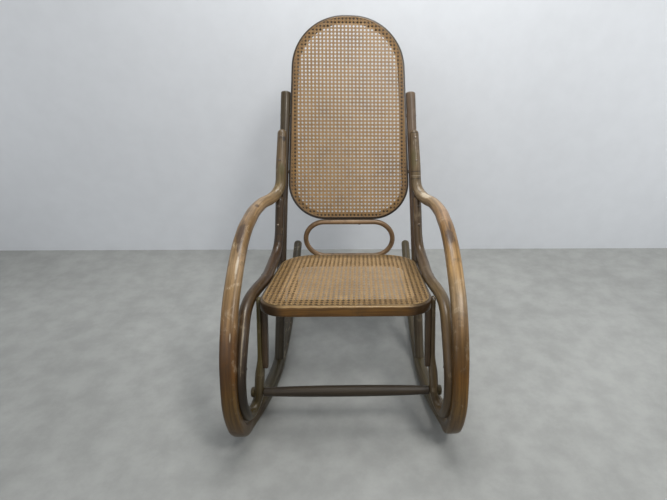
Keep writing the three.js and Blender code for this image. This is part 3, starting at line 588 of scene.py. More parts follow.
seat_outline = four_sided((SEAT_FRONT_HALF, 0, SEAT_FRONT_CORNER),
                          (SEAT_REAR_HALF, SEAT_LENGTH, SEAT_REAR_CORNER))
low_end, high_end = (height / math.cos(BACK_LEAN) for height in (BACK_BOTTOM, BACK_TOP))
back_outline = four_sided((back_half_at(BACK_BOTTOM), low_end, BOTTOM_CORNER),
                          (back_half_at(BACK_TOP), high_end, TOP_CORNER))

LOOP_RADIUS, LOOP_HALF, LOOP_DROP = 8.5, 149, 5
loop_top = on_back(0, low_end - LOOP_RADIUS - CLEAR, 0)
loop_foot = on_seat(0, SEAT_LENGTH + LOOP_RADIUS + CLEAR, SEAT_THICK / 2 - LOOP_DROP)
loop_height = np.linalg.norm(loop_top - loop_foot)
loop_along = (loop_top - loop_foot) / loop_height
loop_facing = -np.cross(loop_along, across)


def on_loop(x, along, facing):
    return loop_foot + across * x + loop_along * along + loop_facing * facing


def round_section(sides, wide, thick):
    c, s = circle(sides)
    return np.stack([wide * c, -thick * s], 1)


loop_outline = four_sided((LOOP_HALF, 0, loop_height / 2), (LOOP_HALF, loop_height, loop_height / 2))
for name, node, outline, section, place, slot in (
        ("seat_rail", "seat_ring", seat_outline, rail_section(SEAT_BREADTH, SEAT_THICK, SEAT_SOFT),
         on_seat, "rail_wood"),
        ("back_rail", "back_ring", back_outline, rail_section(BACK_BREADTH, BACK_THICK, BACK_SOFT),
         on_back, "rail_wood"),
        ("loop_rod", "back_loop", loop_outline, round_section(20, LOOP_RADIUS, LOOP_RADIUS), on_loop,
         "scroll_wood")):
    piece = keep(rail_ring(name, outline, section, place), node)
    print(piece.name, len(piece.data.polygons), "faces")

# %% [markdown]
# Six-way cane
#
# Real seat cane is split rattan, about 2 mm wide, flat below and rounded above. Upright and level
# strands go in pairs, half an inch from pair to pair, and slanting strands lace over one and under
# the other, which leaves the eight-sided holes. Counting holes in the photograph gave the pitches.
# Hundreds of strands can't be placed by hand, and an image of a weave would show no light through its
# holes, so each strand is built in code: its line is cut at the panel's edge, and its height waves as
# it goes over and under. A layer that faces backwards is mirrored, so its faces are turned round to
# keep their outer side outside.

# %% Strands inside an outline
SEAT_PITCH, BACK_PITCH = 13.8, 12.3
PAIR_SHARE, STRAND_SHARE, STRAND_THICK = 0.103, 0.155, 0.6
SEAT_UPRIGHT_SHARE, SEAT_LEVEL_SHARE = 0.8, 1.15
SHORTEST, END_CLEAR = 3, 0.8
PLAIN_RISE, SLANT_RISE, KNOT_REACH = 0.3, 0.55, 2.5
STRAND_SHAPE = [(-0.5, -0.5), (0.5, -0.5), (0.3, 0.5), (-0.3, 0.5)]
GOLDEN = 0.61803


def inside_span(edge, point, way):
    """How far a line runs inside a convex outline, as (from, to) along its direction."""
    low, high = -1e9, 1e9
    for a, b in zip(edge, np.roll(edge, -1, axis=0)):
        normal = np.array([a[1] - b[1], b[0] - a[0]])
        reach, gap = float(normal @ way), float(normal @ (point - a))
        if abs(reach) < 1e-9:
            if gap < 0:
                return None
        elif reach > 0:
            low = max(low, -gap / reach)
        else:
            high = min(high, -gap / reach)
    return (low, high) if high - low > SHORTEST else None


def weave_family(edge, way, starts, stops, height):
    """Parallel strands from their starts, each as (centres, heights, distances, number)."""
    found = []
    for number, point in enumerate(starts):
        span = inside_span(edge, point, way)
        if span is not None:
            inner = [s for s in stops if span[0] + END_CLEAR < s < span[1] - END_CLEAR]
            at = np.array([span[0], *inner, span[1]])
            heights = np.array([height(number, s) for s in at])
            found.append((point + at[:, None] * way, heights, at, number))
    return found


def from_edge(edge, points):
    """How far inside a convex outline each point is."""
    ahead = np.roll(edge, -1, axis=0) - edge
    inward = np.stack([-ahead[:, 1], ahead[:, 0]], 1) / np.linalg.norm(ahead, axis=1)[:, None]
    return (points @ inward.T - (edge * inward).sum(1)).min(1)


def strand_mesh(name, family, way, place, lift, facing, wide, edge):
    """One mesh from many strands, each with a flat under side and a rounded upper one."""
    verts, faces, notes, rims = [], [], [], []
    side = np.array([-way[1], way[0]])
    for centres, heights, at, number in family:
        base = len(verts)
        rims.append(np.repeat(from_edge(edge, centres), 4))
        for centre, h, s in zip(centres, heights, at):
            for a, b in STRAND_SHAPE:
                x, y = centre + side * a * wide
                verts.append(place(x, y, lift + facing * (h + b * STRAND_THICK)))
                notes.append((s * MM, a * wide * MM, number * GOLDEN % 1.0))
        last = len(verts) - 4
        for p in range(base, last, 4):
            faces += [(p + j, p + k, p + 4 + k, p + 4 + j) for j, k in ((0, 1), (1, 2), (2, 3), (3, 0))]
        faces += [(base + 3, base + 2, base + 1, base), (last, last + 1, last + 2, last + 3)]
    if facing < 0:
        faces = [face[::-1] for face in faces]
    data = bpy.data.meshes.new(name)
    data.from_pydata(to_frame(verts).tolist(), [], faces)
    data.attributes.new("grain", "FLOAT_VECTOR", "POINT").data.foreach_set("vector", np.ravel(notes))
    data.attributes.new("rim", "FLOAT", "POINT").data.foreach_set("value", np.concatenate(rims) * MM)
    piece = bpy.data.objects.new(name, data)
    scene.collection.objects.link(piece)
    return piece


# %% [markdown]
# Over and under
#
# Along an upright strand a level pair comes by every half inch: the strand goes over one of the pair
# and under the other. A slanting strand rises over the uprights and dips under the level ones, and
# the strands that slant the other way do the opposite, so nothing is left loose.

# %% Weave one panel
def cane_panel(name, outline, rim, place, lift, facing, pitch, stretch=1.0, anchor=(0.0, 0.0)):
    """A woven panel as two pieces; stretch widens the weave, not its edge, from an anchor."""
    points, outs = outline
    pair, wide = pitch * PAIR_SHARE, pitch * STRAND_SHARE
    anchor = np.array(anchor)
    edge = points - outs * rim
    low, high = edge.min(0), edge.max(0)
    span = int(max(high - low) / pitch) + 3
    mid = np.array([0.0, (low[1] + high[1]) / 2])
    edge = anchor + (edge - anchor) / stretch

    def pulled(x, along, up):
        return place(*(anchor + (np.array([x, along]) - anchor) * stretch), up)

    def plain(sign):
        def height(number, s):
            off = s - round(s / pitch) * pitch
            if abs(off) > KNOT_REACH:
                return 0.0
            return sign * (PLAIN_RISE if (number + (off > 0)) % 2 else -PLAIN_RISE)
        return height

    def slant(sign):
        return lambda number, s: sign * SLANT_RISE * math.cos(2 * math.pi * s / math.sqrt(2) / pitch)

    paired = [(n // 2 - span) * pitch + (pair if n % 2 else -pair) for n in range(4 * span + 2)]
    crossings = sorted(n * pitch + off for n in range(-span, span + 1) for off in (-pair, pair, pitch / 2))
    shifts = [(n + 0.5) * pitch for n in range(-2 * span, 2 * span)]
    quarters = [k * pitch * math.sqrt(2) / 4 for k in range(-8 * span, 8 * span)]
    thinner, broader = (SEAT_UPRIGHT_SHARE, SEAT_LEVEL_SHARE) if place is on_seat else (1, 1)
    joined = []
    for title, stops, height, rows in (
            ("straight", crossings, plain, (("uprights", (0, 1), 1, [(v, 0) for v in paired], thinner),
                                            ("levels", (1, 0), -1, [(0, v) for v in paired], broader))),
            ("slanting", quarters, slant, (("rising", (1, 1), 1, [(0, v) for v in shifts], thinner),
                                           ("falling", (1, -1), -1, [(0, v) for v in shifts], thinner)))):
        bpy.ops.object.select_all(action="DESELECT")
        for part, way, sign, starts, share in rows:
            way = np.array(way) / math.hypot(*way)
            family = weave_family(edge, way, [mid + start for start in starts], stops, height(sign))
            piece = strand_mesh(f"{name}_{part}", family, way, pulled, lift, facing, wide * share, edge)
            piece.select_set(True)
            if sign == 1:
                bpy.context.view_layer.objects.active = piece
        bpy.ops.object.join()
        piece = bpy.context.object
        piece.name = piece.data.name = f"{name}_{title}"
        bpy.ops.object.shade_smooth()
        joined.append(piece)
        print(piece.name, sum(len(p.vertices) - 2 for p in piece.data.polygons), "triangles")
    return joined


# %% [markdown]
# Three panels, two of them on the back
#
# The back is caned on both sides. The rear layer's weave is a little wider, and its holes lie behind
# the front layer's as seen from where the photograph was taken: exactly near the top right, less
# well at the lower left. SIGHT is the point of the back's plane nearest to the camera, in millimetres.

# %% Weave the three panels
SIGHT, SIGHT_SHARE, LINED_UP = np.array([39.0, 446.0]), 1.0137, np.array([110.0, 960.0])
REAR_STRETCH = 1.0105
lined_rear = SIGHT + (LINED_UP - SIGHT) * SIGHT_SHARE
REAR_ANCHOR = (lined_rear - LINED_UP * REAR_STRETCH) / (1 - REAR_STRETCH)
CANE_LIFT = CLEAR + 0.8
for name, outline, rim, place, lift, facing, pitch, stretch, anchor in (
        ("seat_cane", seat_outline, SEAT_RIM, on_seat, SEAT_THICK / 2 + CANE_LIFT, 1, SEAT_PITCH, 1.0,
         (0, 0)),
        ("back_cane_front", back_outline, BACK_RIM, on_back, BACK_THICK / 2 + CANE_LIFT, 1, BACK_PITCH,
         1.0, (0, 0)),
        ("back_cane_rear", back_outline, BACK_RIM, on_back, -BACK_THICK / 2 - CANE_LIFT, -1, BACK_PITCH,
         REAR_STRETCH, REAR_ANCHOR)):
    for piece in cane_panel(f"{name}_weave", outline, rim, place, lift, facing, pitch, stretch, anchor):
        keep(piece, name)

# %% [markdown]
# The reed that holds the cane
#
# Woven cane is pressed into a groove round the ring and held by a thin reed. The reed hides the
# strands' cut ends, so it is laid along the cane's edge with the same travelling section.

# %% The reeds
REED_HALF_WIDE, REED_HALF_THICK, REED_IN, REED_LIFT = 1.7, 1.1, 1.6, 1.0
reed = round_section(8, REED_HALF_WIDE, REED_HALF_THICK)
for name, node, outline, rim, place, lift in (
        ("seat_reed", "seat_cane", seat_outline, SEAT_RIM, on_seat, SEAT_THICK / 2 + REED_LIFT),
        ("back_reed_front", "back_cane_front", back_outline, BACK_RIM, on_back,
         BACK_THICK / 2 + REED_LIFT),
        ("back_reed_rear", "back_cane_rear", back_outline, BACK_RIM, on_back,
         -BACK_THICK / 2 - REED_LIFT)):
    keep(rail_ring(name, outline, reed + [-rim - REED_IN, lift], place), node)


# %% [markdown]
# Colour by numbers
#
# A finish is written as the sRGB colour that a camera would record in plain light. Blender's sockets
# want linear values, so one helper turns them round; a second one saves a line for each link.

# %% Helpers for the finishes
def tone(red, green, blue):
    """An sRGB colour, 0 to 255, as Blender's linear colour."""
    parts = [v / 255 for v in (red, green, blue)]
    return tuple(v / 12.92 if v <= 0.04045 else ((v + 0.055) / 1.055) ** 2.4 for v in parts) + (1.0,)


def wire(tree, kind, inputs=(), **settings):
    """Adds a node, sets its settings, and fills inputs from values or from other nodes' sockets."""
    node = tree.nodes.new(kind)
    for key, value in settings.items():
        setattr(node, key, value)
    for key, value in dict(inputs).items():
        if isinstance(value, bpy.types.NodeSocket):
            tree.links.new(value, node.inputs[key])
        else:
            node.inputs[key].default_value = value
    return node


def math_node(tree, operation, a, b=0.0, clamp=False):
    return wire(tree, "ShaderNodeMath", {0: a, 1: b}, operation=operation, use_clamp=clamp).outputs[0]


def times(tree, a, b, clamp=False):
    return math_node(tree, "MULTIPLY", a, b, clamp)


def plus(tree, a, b):
    return math_node(tree, "ADD", a, b)


def minus(tree, a, b):
    return math_node(tree, "SUBTRACT", a, b)


def ramp(tree, value, low, high):
    """A mask that rises from 0 at low to 1 at high."""
    return wire(tree, "ShaderNodeMapRange", {0: value, 1: low, 2: high}, interpolation_type="SMOOTHSTEP"
                ).outputs[0]


def mix(tree, share, a, b, mode="MIX"):
    return wire(tree, "ShaderNodeMix", {0: share, 6: a, 7: b}, data_type="RGBA", blend_type=mode
                ).outputs[2]


def stretched(tree, vector, scale):
    return wire(tree, "ShaderNodeVectorMath", {0: vector, 1: scale}, operation="MULTIPLY").outputs[0]


def noise(tree, vector, scale, detail=3.0, roughness=0.55, distortion=0.0):
    return wire(tree, "ShaderNodeTexNoise", {"Vector": vector, "Scale": scale, "Detail": detail,
                                             "Roughness": roughness, "Distortion": distortion}
                ).outputs["Fac"]


def grain_of(tree):
    """The measures that the rings laid down: along, aside and up, in metres."""
    return wire(tree, "ShaderNodeAttribute", attribute_name="grain").outputs["Vector"]


def spot_of(tree):
    return wire(tree, "ShaderNodeTexCoord").outputs["Object"]


def parts_of(tree, vector):
    return wire(tree, "ShaderNodeSeparateXYZ", {0: vector}).outputs


def group(name, inputs, outputs):
    """A shader node group with named sockets; inputs are (name, type, default)."""
    tree = bpy.data.node_groups.new(name, "ShaderNodeTree")
    for title, kind, default in inputs:
        socket = tree.interface.new_socket(title, in_out="INPUT", socket_type="NodeSocket" + kind)
        socket.default_value = default
    for title, kind in outputs:
        tree.interface.new_socket(title, in_out="OUTPUT", socket_type="NodeSocket" + kind)
    return tree, tree.nodes.new("NodeGroupInput").outputs, tree.nodes.new("NodeGroupOutput").inputs


# %% [markdown]
# Beech under old varnish
#
# Bent beech shows long fine streaks along the rod, short dark flecks between them, and on a chair of
# this age cloudy patches where the varnish has gone darker or has been rubbed pale. The streaks read
# the grain that each ring laid down, so they turn every bend with the wood. The patches read the
# chair's own coordinates, because dirt and hands don't follow the grain. A group holds all of it and
# takes one tone; it finds the pale and deep streaks round that tone itself.

# %% The wood group
old_wood, given, out = group(
    "old_varnished_beech",
    [("Tone", "Color", tone(110, 82, 52)), ("Dark", "Color", tone(60, 44, 30)),
     ("Worn", "Color", tone(175, 155, 120)),
     ("Streaks", "Float", 0.5), ("Clouds", "Float", 0.5), ("Wear", "Float", 0.3)],
    [("Color", "Color"), ("Roughness", "Float"), ("Height", "Float")])
tree = old_wood
grain, spot = grain_of(tree), spot_of(tree)
streaks = noise(tree, stretched(tree, grain, (6, 150, 150)), 1.0, 4, 0.6)
fine = noise(tree, stretched(tree, grain, (25, 900, 900)), 1.0, 2, 0.5)
flecks = ramp(tree, noise(tree, stretched(tree, grain, (90, 1400, 1400)), 1.0, 1), 0.62, 0.75)
clouds = noise(tree, spot, 14.0, 4, 0.6, 0.4)
spots = ramp(tree, noise(tree, spot, 38.0, 3, 0.6), 0.6, 0.72)
streak_mask = ramp(tree, streaks, 0.36, 0.64)
cloud_mask = ramp(tree, clouds, 0.44, 0.68)
pale = mix(tree, 1.0, given["Tone"], (1.38, 1.38, 1.36, 1), "MULTIPLY")
deep = mix(tree, 1.0, given["Tone"], (0.70, 0.68, 0.64, 1), "MULTIPLY")
body = mix(tree, times(tree, streak_mask, given["Streaks"]), deep, pale)
for share in (times(tree, cloud_mask, given["Clouds"], True), times(tree, flecks, 0.4),
              times(tree, spots, given["Clouds"])):
    body = mix(tree, share, body, given["Dark"])
rubbed = ramp(tree, noise(tree, spot, 21.0, 5, 0.65, 0.6), 0.56, 0.7)
rubbed = times(tree, rubbed, ramp(tree, fine, 0.42, 0.58))
rubbed = times(tree, rubbed, given["Wear"], True)
body = mix(tree, rubbed, body, given["Worn"])
tree.links.new(body, out["Color"])
dull = plus(tree, times(tree, clouds, 0.25), 0.2)
tree.links.new(plus(tree, dull, times(tree, rubbed, 0.3)), out["Roughness"])
tree.links.new(times(tree, plus(tree, streaks, fine), 0.5), out["Height"])
print("wood group:", len(tree.nodes), "nodes")

# %% [markdown]
# Tones along a rod, and single marks
#
# The photograph's rods change colour on their way: dark where hands hold the laps, honey on the
# arm's crown, partly painted light from above, reddish down the bow, olive near the floor. Each rod
# gets a list of places along it with a tone for each. Stains, worn spots, painted highlights and the
# thin dark rings at the scarf joints are single marks: a soft spot or a narrow line in the rod's own
# measures of along, side and up.

# %% The wood materials
VARNISH_SHINE, GRAIN_DEEP, FIBRE_DEEP = 0.36, 0.00025, 0.0001
BLOT_DEEP, LINE_HALF = 0.02, 0.0012


def new_material(name):
    material = bpy.data.materials.new(name)
    material.use_nodes = True
    tree = material.node_tree
    return material, tree, tree.nodes["Principled BSDF"]


def relief(tree, shader, height, deep, strength):
    """A bump on a shader, deep being its height in metres."""
    bump = wire(tree, "ShaderNodeBump", {"Height": height, "Distance": deep, "Strength": strength})
    tree.links.new(bump.outputs[0], shader.inputs["Normal"])


def along_tones(tree, pairs):
    """A colour ramp over the distance along a rod; pairs are (metres, colour)."""
    if len(pairs) == 1:
        return pairs[0][1]
    grain = grain_of(tree)
    drift = minus(tree, noise(tree, stretched(tree, grain, (12, 60, 60)), 1.0), 0.5)
    gone = plus(tree, parts_of(tree, grain)["X"], times(tree, drift, 0.09))
    reach = pairs[-1][0]
    node = wire(tree, "ShaderNodeValToRGB", {0: math_node(tree, "DIVIDE", gone, reach)})
    stops = node.color_ramp.elements
    while len(stops) < len(pairs):
        stops.new(0.5)
    for stop, (spot, colour) in zip(stops, pairs):
        stop.position, stop.color = spot / reach, colour
    return node.outputs[0]


def blot(tree, place, size):
    """A soft ragged spot at (along, side, up), with half sizes along and aside, all in metres."""
    grain = grain_of(tree)
    off = wire(tree, "ShaderNodeVectorMath", {0: grain, 1: place}, operation="SUBTRACT").outputs[0]
    off = stretched(tree, off, tuple(1 / v for v in (*size, BLOT_DEEP)))
    reach = wire(tree, "ShaderNodeVectorMath", {0: off}, operation="LENGTH").outputs["Value"]
    rough = minus(tree, noise(tree, stretched(tree, grain, (90, 240, 240)), 1.0, 4), 0.5)
    reach = plus(tree, reach, times(tree, rough, 1.2))
    return ramp(tree, reach, 1.15, 0.55)


def ring_line(tree, place, half):
    """A thin line round a rod, at a distance along it in metres."""
    off = math_node(tree, "ABSOLUTE", minus(tree, parts_of(tree, grain_of(tree))["X"], place))
    return ramp(tree, off, half * 1.6, half * 0.6)


# %% [markdown]
# One function for every wood
#
# A wood material is the group with its inputs filled, a colour that follows the rod, the marks laid on
# one by one, and the varnish's shine. Four colours come back often, so they get names.

# %% The wood function
def wood(name, tones, dark, worn, streaks, clouds, wear, marks=(), duller=0.0):
    """A worn wood, with (kind, place, size, strength, colour) marks on top of it."""
    material, tree, shader = new_material(name)
    node = wire(tree, "ShaderNodeGroup",
                {"Tone": along_tones(tree, tones), "Dark": dark, "Worn": worn, "Streaks": streaks,
                 "Clouds": clouds, "Wear": wear}, node_tree=old_wood)
    body = node.outputs["Color"]
    for kind, place, size, strength, colour in marks:
        body = mix(tree, times(tree, kind(tree, place, size), strength), body, colour)
    tree.links.new(body, shader.inputs["Base Color"])
    tree.links.new(plus(tree, node.outputs["Roughness"], duller), shader.inputs["Roughness"])
    shader.inputs["Specular IOR Level"].default_value = VARNISH_SHINE
    relief(tree, shader, node.outputs["Height"], GRAIN_DEEP, 0.6)
    return material


def tones(*rows):
    return [(place, tone(*colour)) for place, *colour in rows]


# The pale colour serves worn spots and a scratch, and also one painted highlight.
SOOT, UMBER, OLIVE, PALE_WEAR_AND_HIGHLIGHT = tone(34, 26, 20), tone(58, 42, 30), tone(78, 74, 44), tone(214, 204, 184)

# %% [markdown]
# The arms
#
# Their crowns are the palest wood on the chair, partly rubbed by sleeves and partly painted light from
# above, and their laps the dirtiest. Each has its own stains, placed where the photograph shows the
# largest; the right one's whitish patch near the front of its armrest is a painted highlight; the left
# one's lap has dark lines where its joint has opened.

# %% Finish of the arms
finish_of = {}
finish_of["right_arm_and_runner"] = wood(
    "right_arm_varnish",
    # The palest tones along the armrest are partly painted light from above.
    tones((0, 94, 80, 60), (0.1, 92, 76, 54), (0.17, 94, 82, 56), (0.25, 126, 106, 78),
          (0.34, 132, 110, 82), (0.42, 130, 106, 76), (0.49, 110, 86, 54), (0.57, 108, 84, 50),
          (0.62, 138, 116, 88), (0.7, 130, 106, 74), (0.78, 122, 94, 60), (0.83, 92, 62, 30),
          (0.91, 86, 56, 20), (0.99, 88, 66, 32), (1.06, 82, 62, 34), (1.3, 50, 44, 26)),
    tone(60, 46, 32), tone(198, 184, 158), 0.8, 0.4, 0.45,
    [(blot, (0.528, -0.002, 0.018), (0.05, 0.011), 0.85, UMBER),
     (blot, (0.575, 0.003, 0.018), (0.026, 0.006), 0.8, UMBER),
     (blot, (0.362, 0.008, 0.017), (0.012, 0.008), 0.8, UMBER),
     # A whitish patch on the armrest: a painted highlight.
     (blot, (0.64, 0.007, 0.018), (0.034, 0.0035), 0.45, PALE_WEAR_AND_HIGHLIGHT),
     (blot, (0.814, 0.008, 0.018), (0.012, 0.0012), 0.5, PALE_WEAR_AND_HIGHLIGHT),
     (blot, (0.034, 0.009, 0.011), (0.01, 0.007), 0.9, SOOT),
     (blot, (0.132, 0.004, 0.017), (0.02, 0.012), 0.6, OLIVE)])
finish_of["left_arm_and_runner"] = wood(
    "left_arm_varnish",
    # The palest tones along the armrest are partly painted light from above.
    tones((0, 94, 80, 60), (0.1, 94, 78, 54), (0.17, 96, 82, 60), (0.25, 134, 118, 96),
          (0.33, 140, 118, 92), (0.43, 142, 114, 86), (0.5, 118, 90, 56), (0.56, 108, 82, 48),
          (0.64, 150, 120, 78), (0.73, 144, 122, 92), (0.79, 118, 92, 60), (0.84, 90, 66, 34),
          (0.92, 98, 67, 26), (1.0, 98, 74, 38), (1.06, 86, 66, 38), (1.3, 74, 66, 46)),
    tone(60, 46, 32), tone(198, 184, 158), 0.8, 0.35, 0.35,
    [(blot, (0.5, 0.004, 0.018), (0.022, 0.005), 0.7, UMBER),
     (blot, (0.545, -0.002, 0.018), (0.034, 0.013), 0.8, UMBER),
     (blot, (0.097, -0.006, 0.015), (0.034, 0.012), 0.55, OLIVE),
     (blot, (0.26, -0.006, 0.017), (0.03, 0.01), 0.5, PALE_WEAR_AND_HIGHLIGHT),
     (ring_line, 0.139, LINE_HALF, 0.8, SOOT), (ring_line, 0.153, 0.0008, 0.35, PALE_WEAR_AND_HIGHLIGHT),
     (ring_line, 0.163, LINE_HALF, 0.8, SOOT), (ring_line, 0.012, LINE_HALF, 0.7, SOOT)])

# %% [markdown]
# Posts, scrolls and the small woods
#
# The window is on the chair's left. The right side's pieces are given darker tones than the left's,
# nearly black in places. The small pieces share one finish a kind.

# %% Finish of the posts, the scrolls and the rest
finish_of["right_back_post"] = wood(
    "right_post_varnish", tones((0, 52, 46, 32), (0.3, 48, 38, 24), (0.6, 54, 41, 27),
                                (0.93, 70, 60, 42)),
    SOOT, tone(140, 126, 104), 0.7, 0.4, 0.25)
finish_of["left_back_post"] = wood(
    "left_post_varnish", tones((0, 74, 66, 50), (0.3, 70, 58, 42), (0.6, 100, 80, 64),
                               (0.93, 104, 88, 72)),
    UMBER, tone(160, 146, 122), 0.7, 0.35, 0.25)
finish_of["right_curled_scroll"] = wood(
    "right_scroll_varnish",
    tones((0, 60, 46, 30), (0.12, 50, 37, 22), (0.22, 62, 43, 23), (0.38, 58, 42, 26),
          (0.5, 66, 50, 29), (0.6, 62, 47, 30), (0.7, 42, 32, 20), (0.78, 32, 24, 14),
          (0.95, 72, 62, 36), (1.1, 72, 64, 33), (1.3, 70, 64, 32)),
    SOOT, tone(150, 134, 106), 0.85, 0.35, 0.4,
    [(ring_line, 0.127, 0.0015, 0.85, SOOT), (ring_line, 0.152, 0.0015, 0.8, SOOT),
     # A long pale streak along the crest: a painted highlight.
     (blot, (0.62, 0.004, 0.014), (0.09, 0.002), 0.6, tone(150, 136, 112))])
finish_of["left_curled_scroll"] = wood(
    "left_scroll_varnish",
    tones((0, 88, 72, 54), (0.12, 82, 66, 46), (0.3, 90, 73, 52), (0.5, 112, 94, 66),
          (0.62, 86, 68, 44), (0.72, 64, 50, 31), (0.95, 84, 70, 48), (1.3, 60, 50, 30)),
    UMBER, tone(176, 160, 132), 0.85, 0.3, 0.4)
shared = {
    "loop": wood("loop_varnish", tones((0, 132, 108, 82)), UMBER, tone(196, 180, 150), 0.7, 0.5, 0.4),
    # The stretchers' tone is darkened with painted shade under the seat.
    "turned": wood("stretcher_varnish_and_shade", tones((0, 47, 38, 25)), SOOT, tone(104, 88, 60), 0.7, 0.3,
                   0.2, duller=0.12),
    "button": wood("button_varnish", tones((0, 70, 62, 42)), SOOT, tone(110, 96, 70), 0.5, 0.2, 0.2),
    "leg": wood("leg_varnish", tones((0, 66, 52, 36)), SOOT, tone(100, 86, 62), 0.7, 0.3, 0.2),
}

# %% [markdown]
# The two rings' marks, painted shade and painted highlight
#
# The seat ring's face is reddish brown and darkest at its corners, partly dirt and partly painted
# shade; its top edge has a pale strip, a painted highlight; under the cane it is painted nearly black,
# a painted shade. The back's ring is dark all over, partly its own colour and partly painted shade of
# its outer face, and painted nearly black under the cane too. The masks read the ring's own section:
# how far out a point is and how far up.

# %% The rings' finish, with painted shade and painted highlight
def edge_highlight(tree, place, size):
    """The painted highlight strip along a ring's outer top edge: up from place, size being its softness.
    """
    grain = grain_of(tree)
    wander = minus(tree, noise(tree, stretched(tree, grain, (40, 90, 90)), 1.0), 0.5)
    up = plus(tree, parts_of(tree, grain)["Z"], times(tree, wander, 0.006))
    return ramp(tree, up, place, place + size)


def painted_shade_under_cane(tree, place, size):
    """All of a ring's top that lies further in than place, in metres."""
    return ramp(tree, parts_of(tree, grain_of(tree))["Y"], place + size, place)


def dirt_and_shade_aside(tree, place, size):
    """The part of a ring that is far from the chair's middle plane, where dirt and painted shade darken
    it.
    """
    aside = math_node(tree, "ABSOLUTE", parts_of(tree, spot_of(tree))["X"])
    return ramp(tree, aside, place, place + size)


finish_of["seat_rail"] = wood(
    "seat_ring_varnish", tones((0, 98, 68, 30)), tone(62, 48, 28), tone(150, 126, 84), 0.8, 0.45, 0.2,
    # A pale strip along the outer top edge: a painted highlight.
    [(edge_highlight, 0.0098, 0.003, 0.8, tone(142, 116, 76)),
     # Darker sides and corners: partly dirt, partly painted shade.
     (dirt_and_shade_aside, 0.15, 0.04, 0.85, tone(38, 27, 15)),
     # Nearly black under the cane: painted shade.
     (painted_shade_under_cane, -0.0085, 0.0012, 1.0, tone(36, 25, 14))])
# The back ring's dark tone: partly its own colour, partly painted shade of its outer face.
finish_of["back_rail"] = wood(
    "back_ring_varnish", tones((0, 44, 34, 22)), SOOT, tone(96, 78, 50), 0.5, 0.3, 0.15,
    # Nearly black under the cane: painted shade.
    [(painted_shade_under_cane, -0.006, 0.0012, 1.0, tone(46, 32, 18))])
for name, material in finish_of.items():
    print(name, len(material.node_tree.nodes), "nodes")

# %% [markdown]
# The cane's finish
#
# Rattan skin is glossy and straw-coloured, with fine lines along each strand; old cane goes the
# colour of honey, unevenly, darker where dirt has settled. Every strand carries its own number in the
# grain, so its tint differs a little from its neighbour's, and each point knows how far it is from
# the rim, because the cane over the ring has kept more of its colour than the middle.

# %% The cane materials
def cane(name, low, high, dirt, rim_low, rim_high, rim_reach, stained):
    """Cane from low to high tones, with its own tones nearer than rim_reach to the panel's edge."""
    material, tree, shader = new_material(name)
    grain = grain_of(tree)
    rim = wire(tree, "ShaderNodeAttribute", attribute_name="rim").outputs["Fac"]
    number = parts_of(tree, grain)["Z"]
    fibre = noise(tree, stretched(tree, grain, (60, 2600, 90)), 1.0, 3, 0.6)
    fibre_mask = ramp(tree, fibre, 0.35, 0.65)
    edge_share = ramp(tree, rim, rim_reach * 1.12, rim_reach * 0.88)
    body = mix(tree, edge_share, mix(tree, fibre_mask, low, high),
               mix(tree, fibre_mask, rim_low, rim_high))
    tint = noise(tree, wire(tree, "ShaderNodeCombineXYZ", {0: number, 1: number}).outputs[0], 9.0, 0)
    body = mix(tree, times(tree, ramp(tree, tint, 0.35, 0.65), 0.35), body, dirt)
    stain = ramp(tree, noise(tree, spot_of(tree), 11.0, 5, 0.6, 0.5), 0.45, 0.7)
    body = mix(tree, times(tree, stain, stained), body, dirt)
    tree.links.new(body, shader.inputs["Base Color"])
    tree.links.new(plus(tree, times(tree, fibre, 0.25), 0.3),
                   shader.inputs["Roughness"])
    relief(tree, shader, fibre, FIBRE_DEEP, 0.5)
    return material


shared["seat_cane"] = cane("seat_honey_cane", tone(134, 104, 62), tone(192, 160, 112),
                           tone(120, 93, 56), tone(106, 80, 42), tone(160, 130, 82), 0.04, 0.4)
shared["back_cane"] = cane("back_honey_cane", tone(127, 95, 55), tone(182, 148, 96),
                           tone(108, 82, 52), tone(112, 82, 38), tone(154, 118, 62), 0.0175, 0.4)
for name, low, high, dirt in (
        ("seat_reed", tone(104, 84, 50), tone(140, 116, 74), tone(60, 46, 28)),
        ("back_reed", tone(98, 74, 40), tone(128, 98, 56), tone(64, 46, 26))):
    shared[name] = cane(f"{name}_cane", low, high, dirt, low, high, 0.01, 0.6)

# %% [markdown]
# Old screws
#
# The screws and the little saddle washers are steel that has gone dark brown. They are small, so
# their shapes stay as the CAD has them and only the finish is made here.

# %% The steel material
steel_finish, tree, shader = new_material("dark_steel")
spot = spot_of(tree)
rust = ramp(tree, noise(tree, spot, 420.0, 4, 0.6), 0.45, 0.62)
tree.links.new(mix(tree, rust, tone(104, 96, 86), tone(70, 50, 36)), shader.inputs["Base Color"])
tree.links.new(plus(tree, times(tree, rust, 0.4), 0.32),
               shader.inputs["Roughness"])
tree.links.new(minus(tree, 0.9, times(tree, rust, 0.7)),
               shader.inputs["Metallic"])

# %% [markdown]
# Dressing the pieces
#
# Every new piece rides on the chair's one body and gets its finish; the screws get theirs in the
# slots that their nodes already have.

# %% Finishes on pieces
def shared_finish(name):
    """The finish of a piece that has none of its own, by a word in its name."""
    return next(finish for word, finish in shared.items() if word in name)


for name, piece in made.items():
    piece.data.materials.clear()
    piece.data.materials.append(finish_of[name] if name in finish_of else shared_finish(name))
    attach(piece, "root")
for name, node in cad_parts.items():
    if "screw" in name or "washer" in name:
        for slot in node.material_slots:
            slot.material = steel_finish
print("dressed:", len(made), "pieces")

# %% [markdown]
# A plain studio
#
# The chair stands on a pale floor before a pale wall. The wall is where the photograph's is, about
# 24 cm behind the runners' tips. It would hide the chair from behind, so its back side lets every ray
# through.

# %% Floor and wall
IMAGE_WIDE, ROOM_WIDE, WALL_PLACE, PLAIN_DULL = 667, 9, 0.76, 0.75


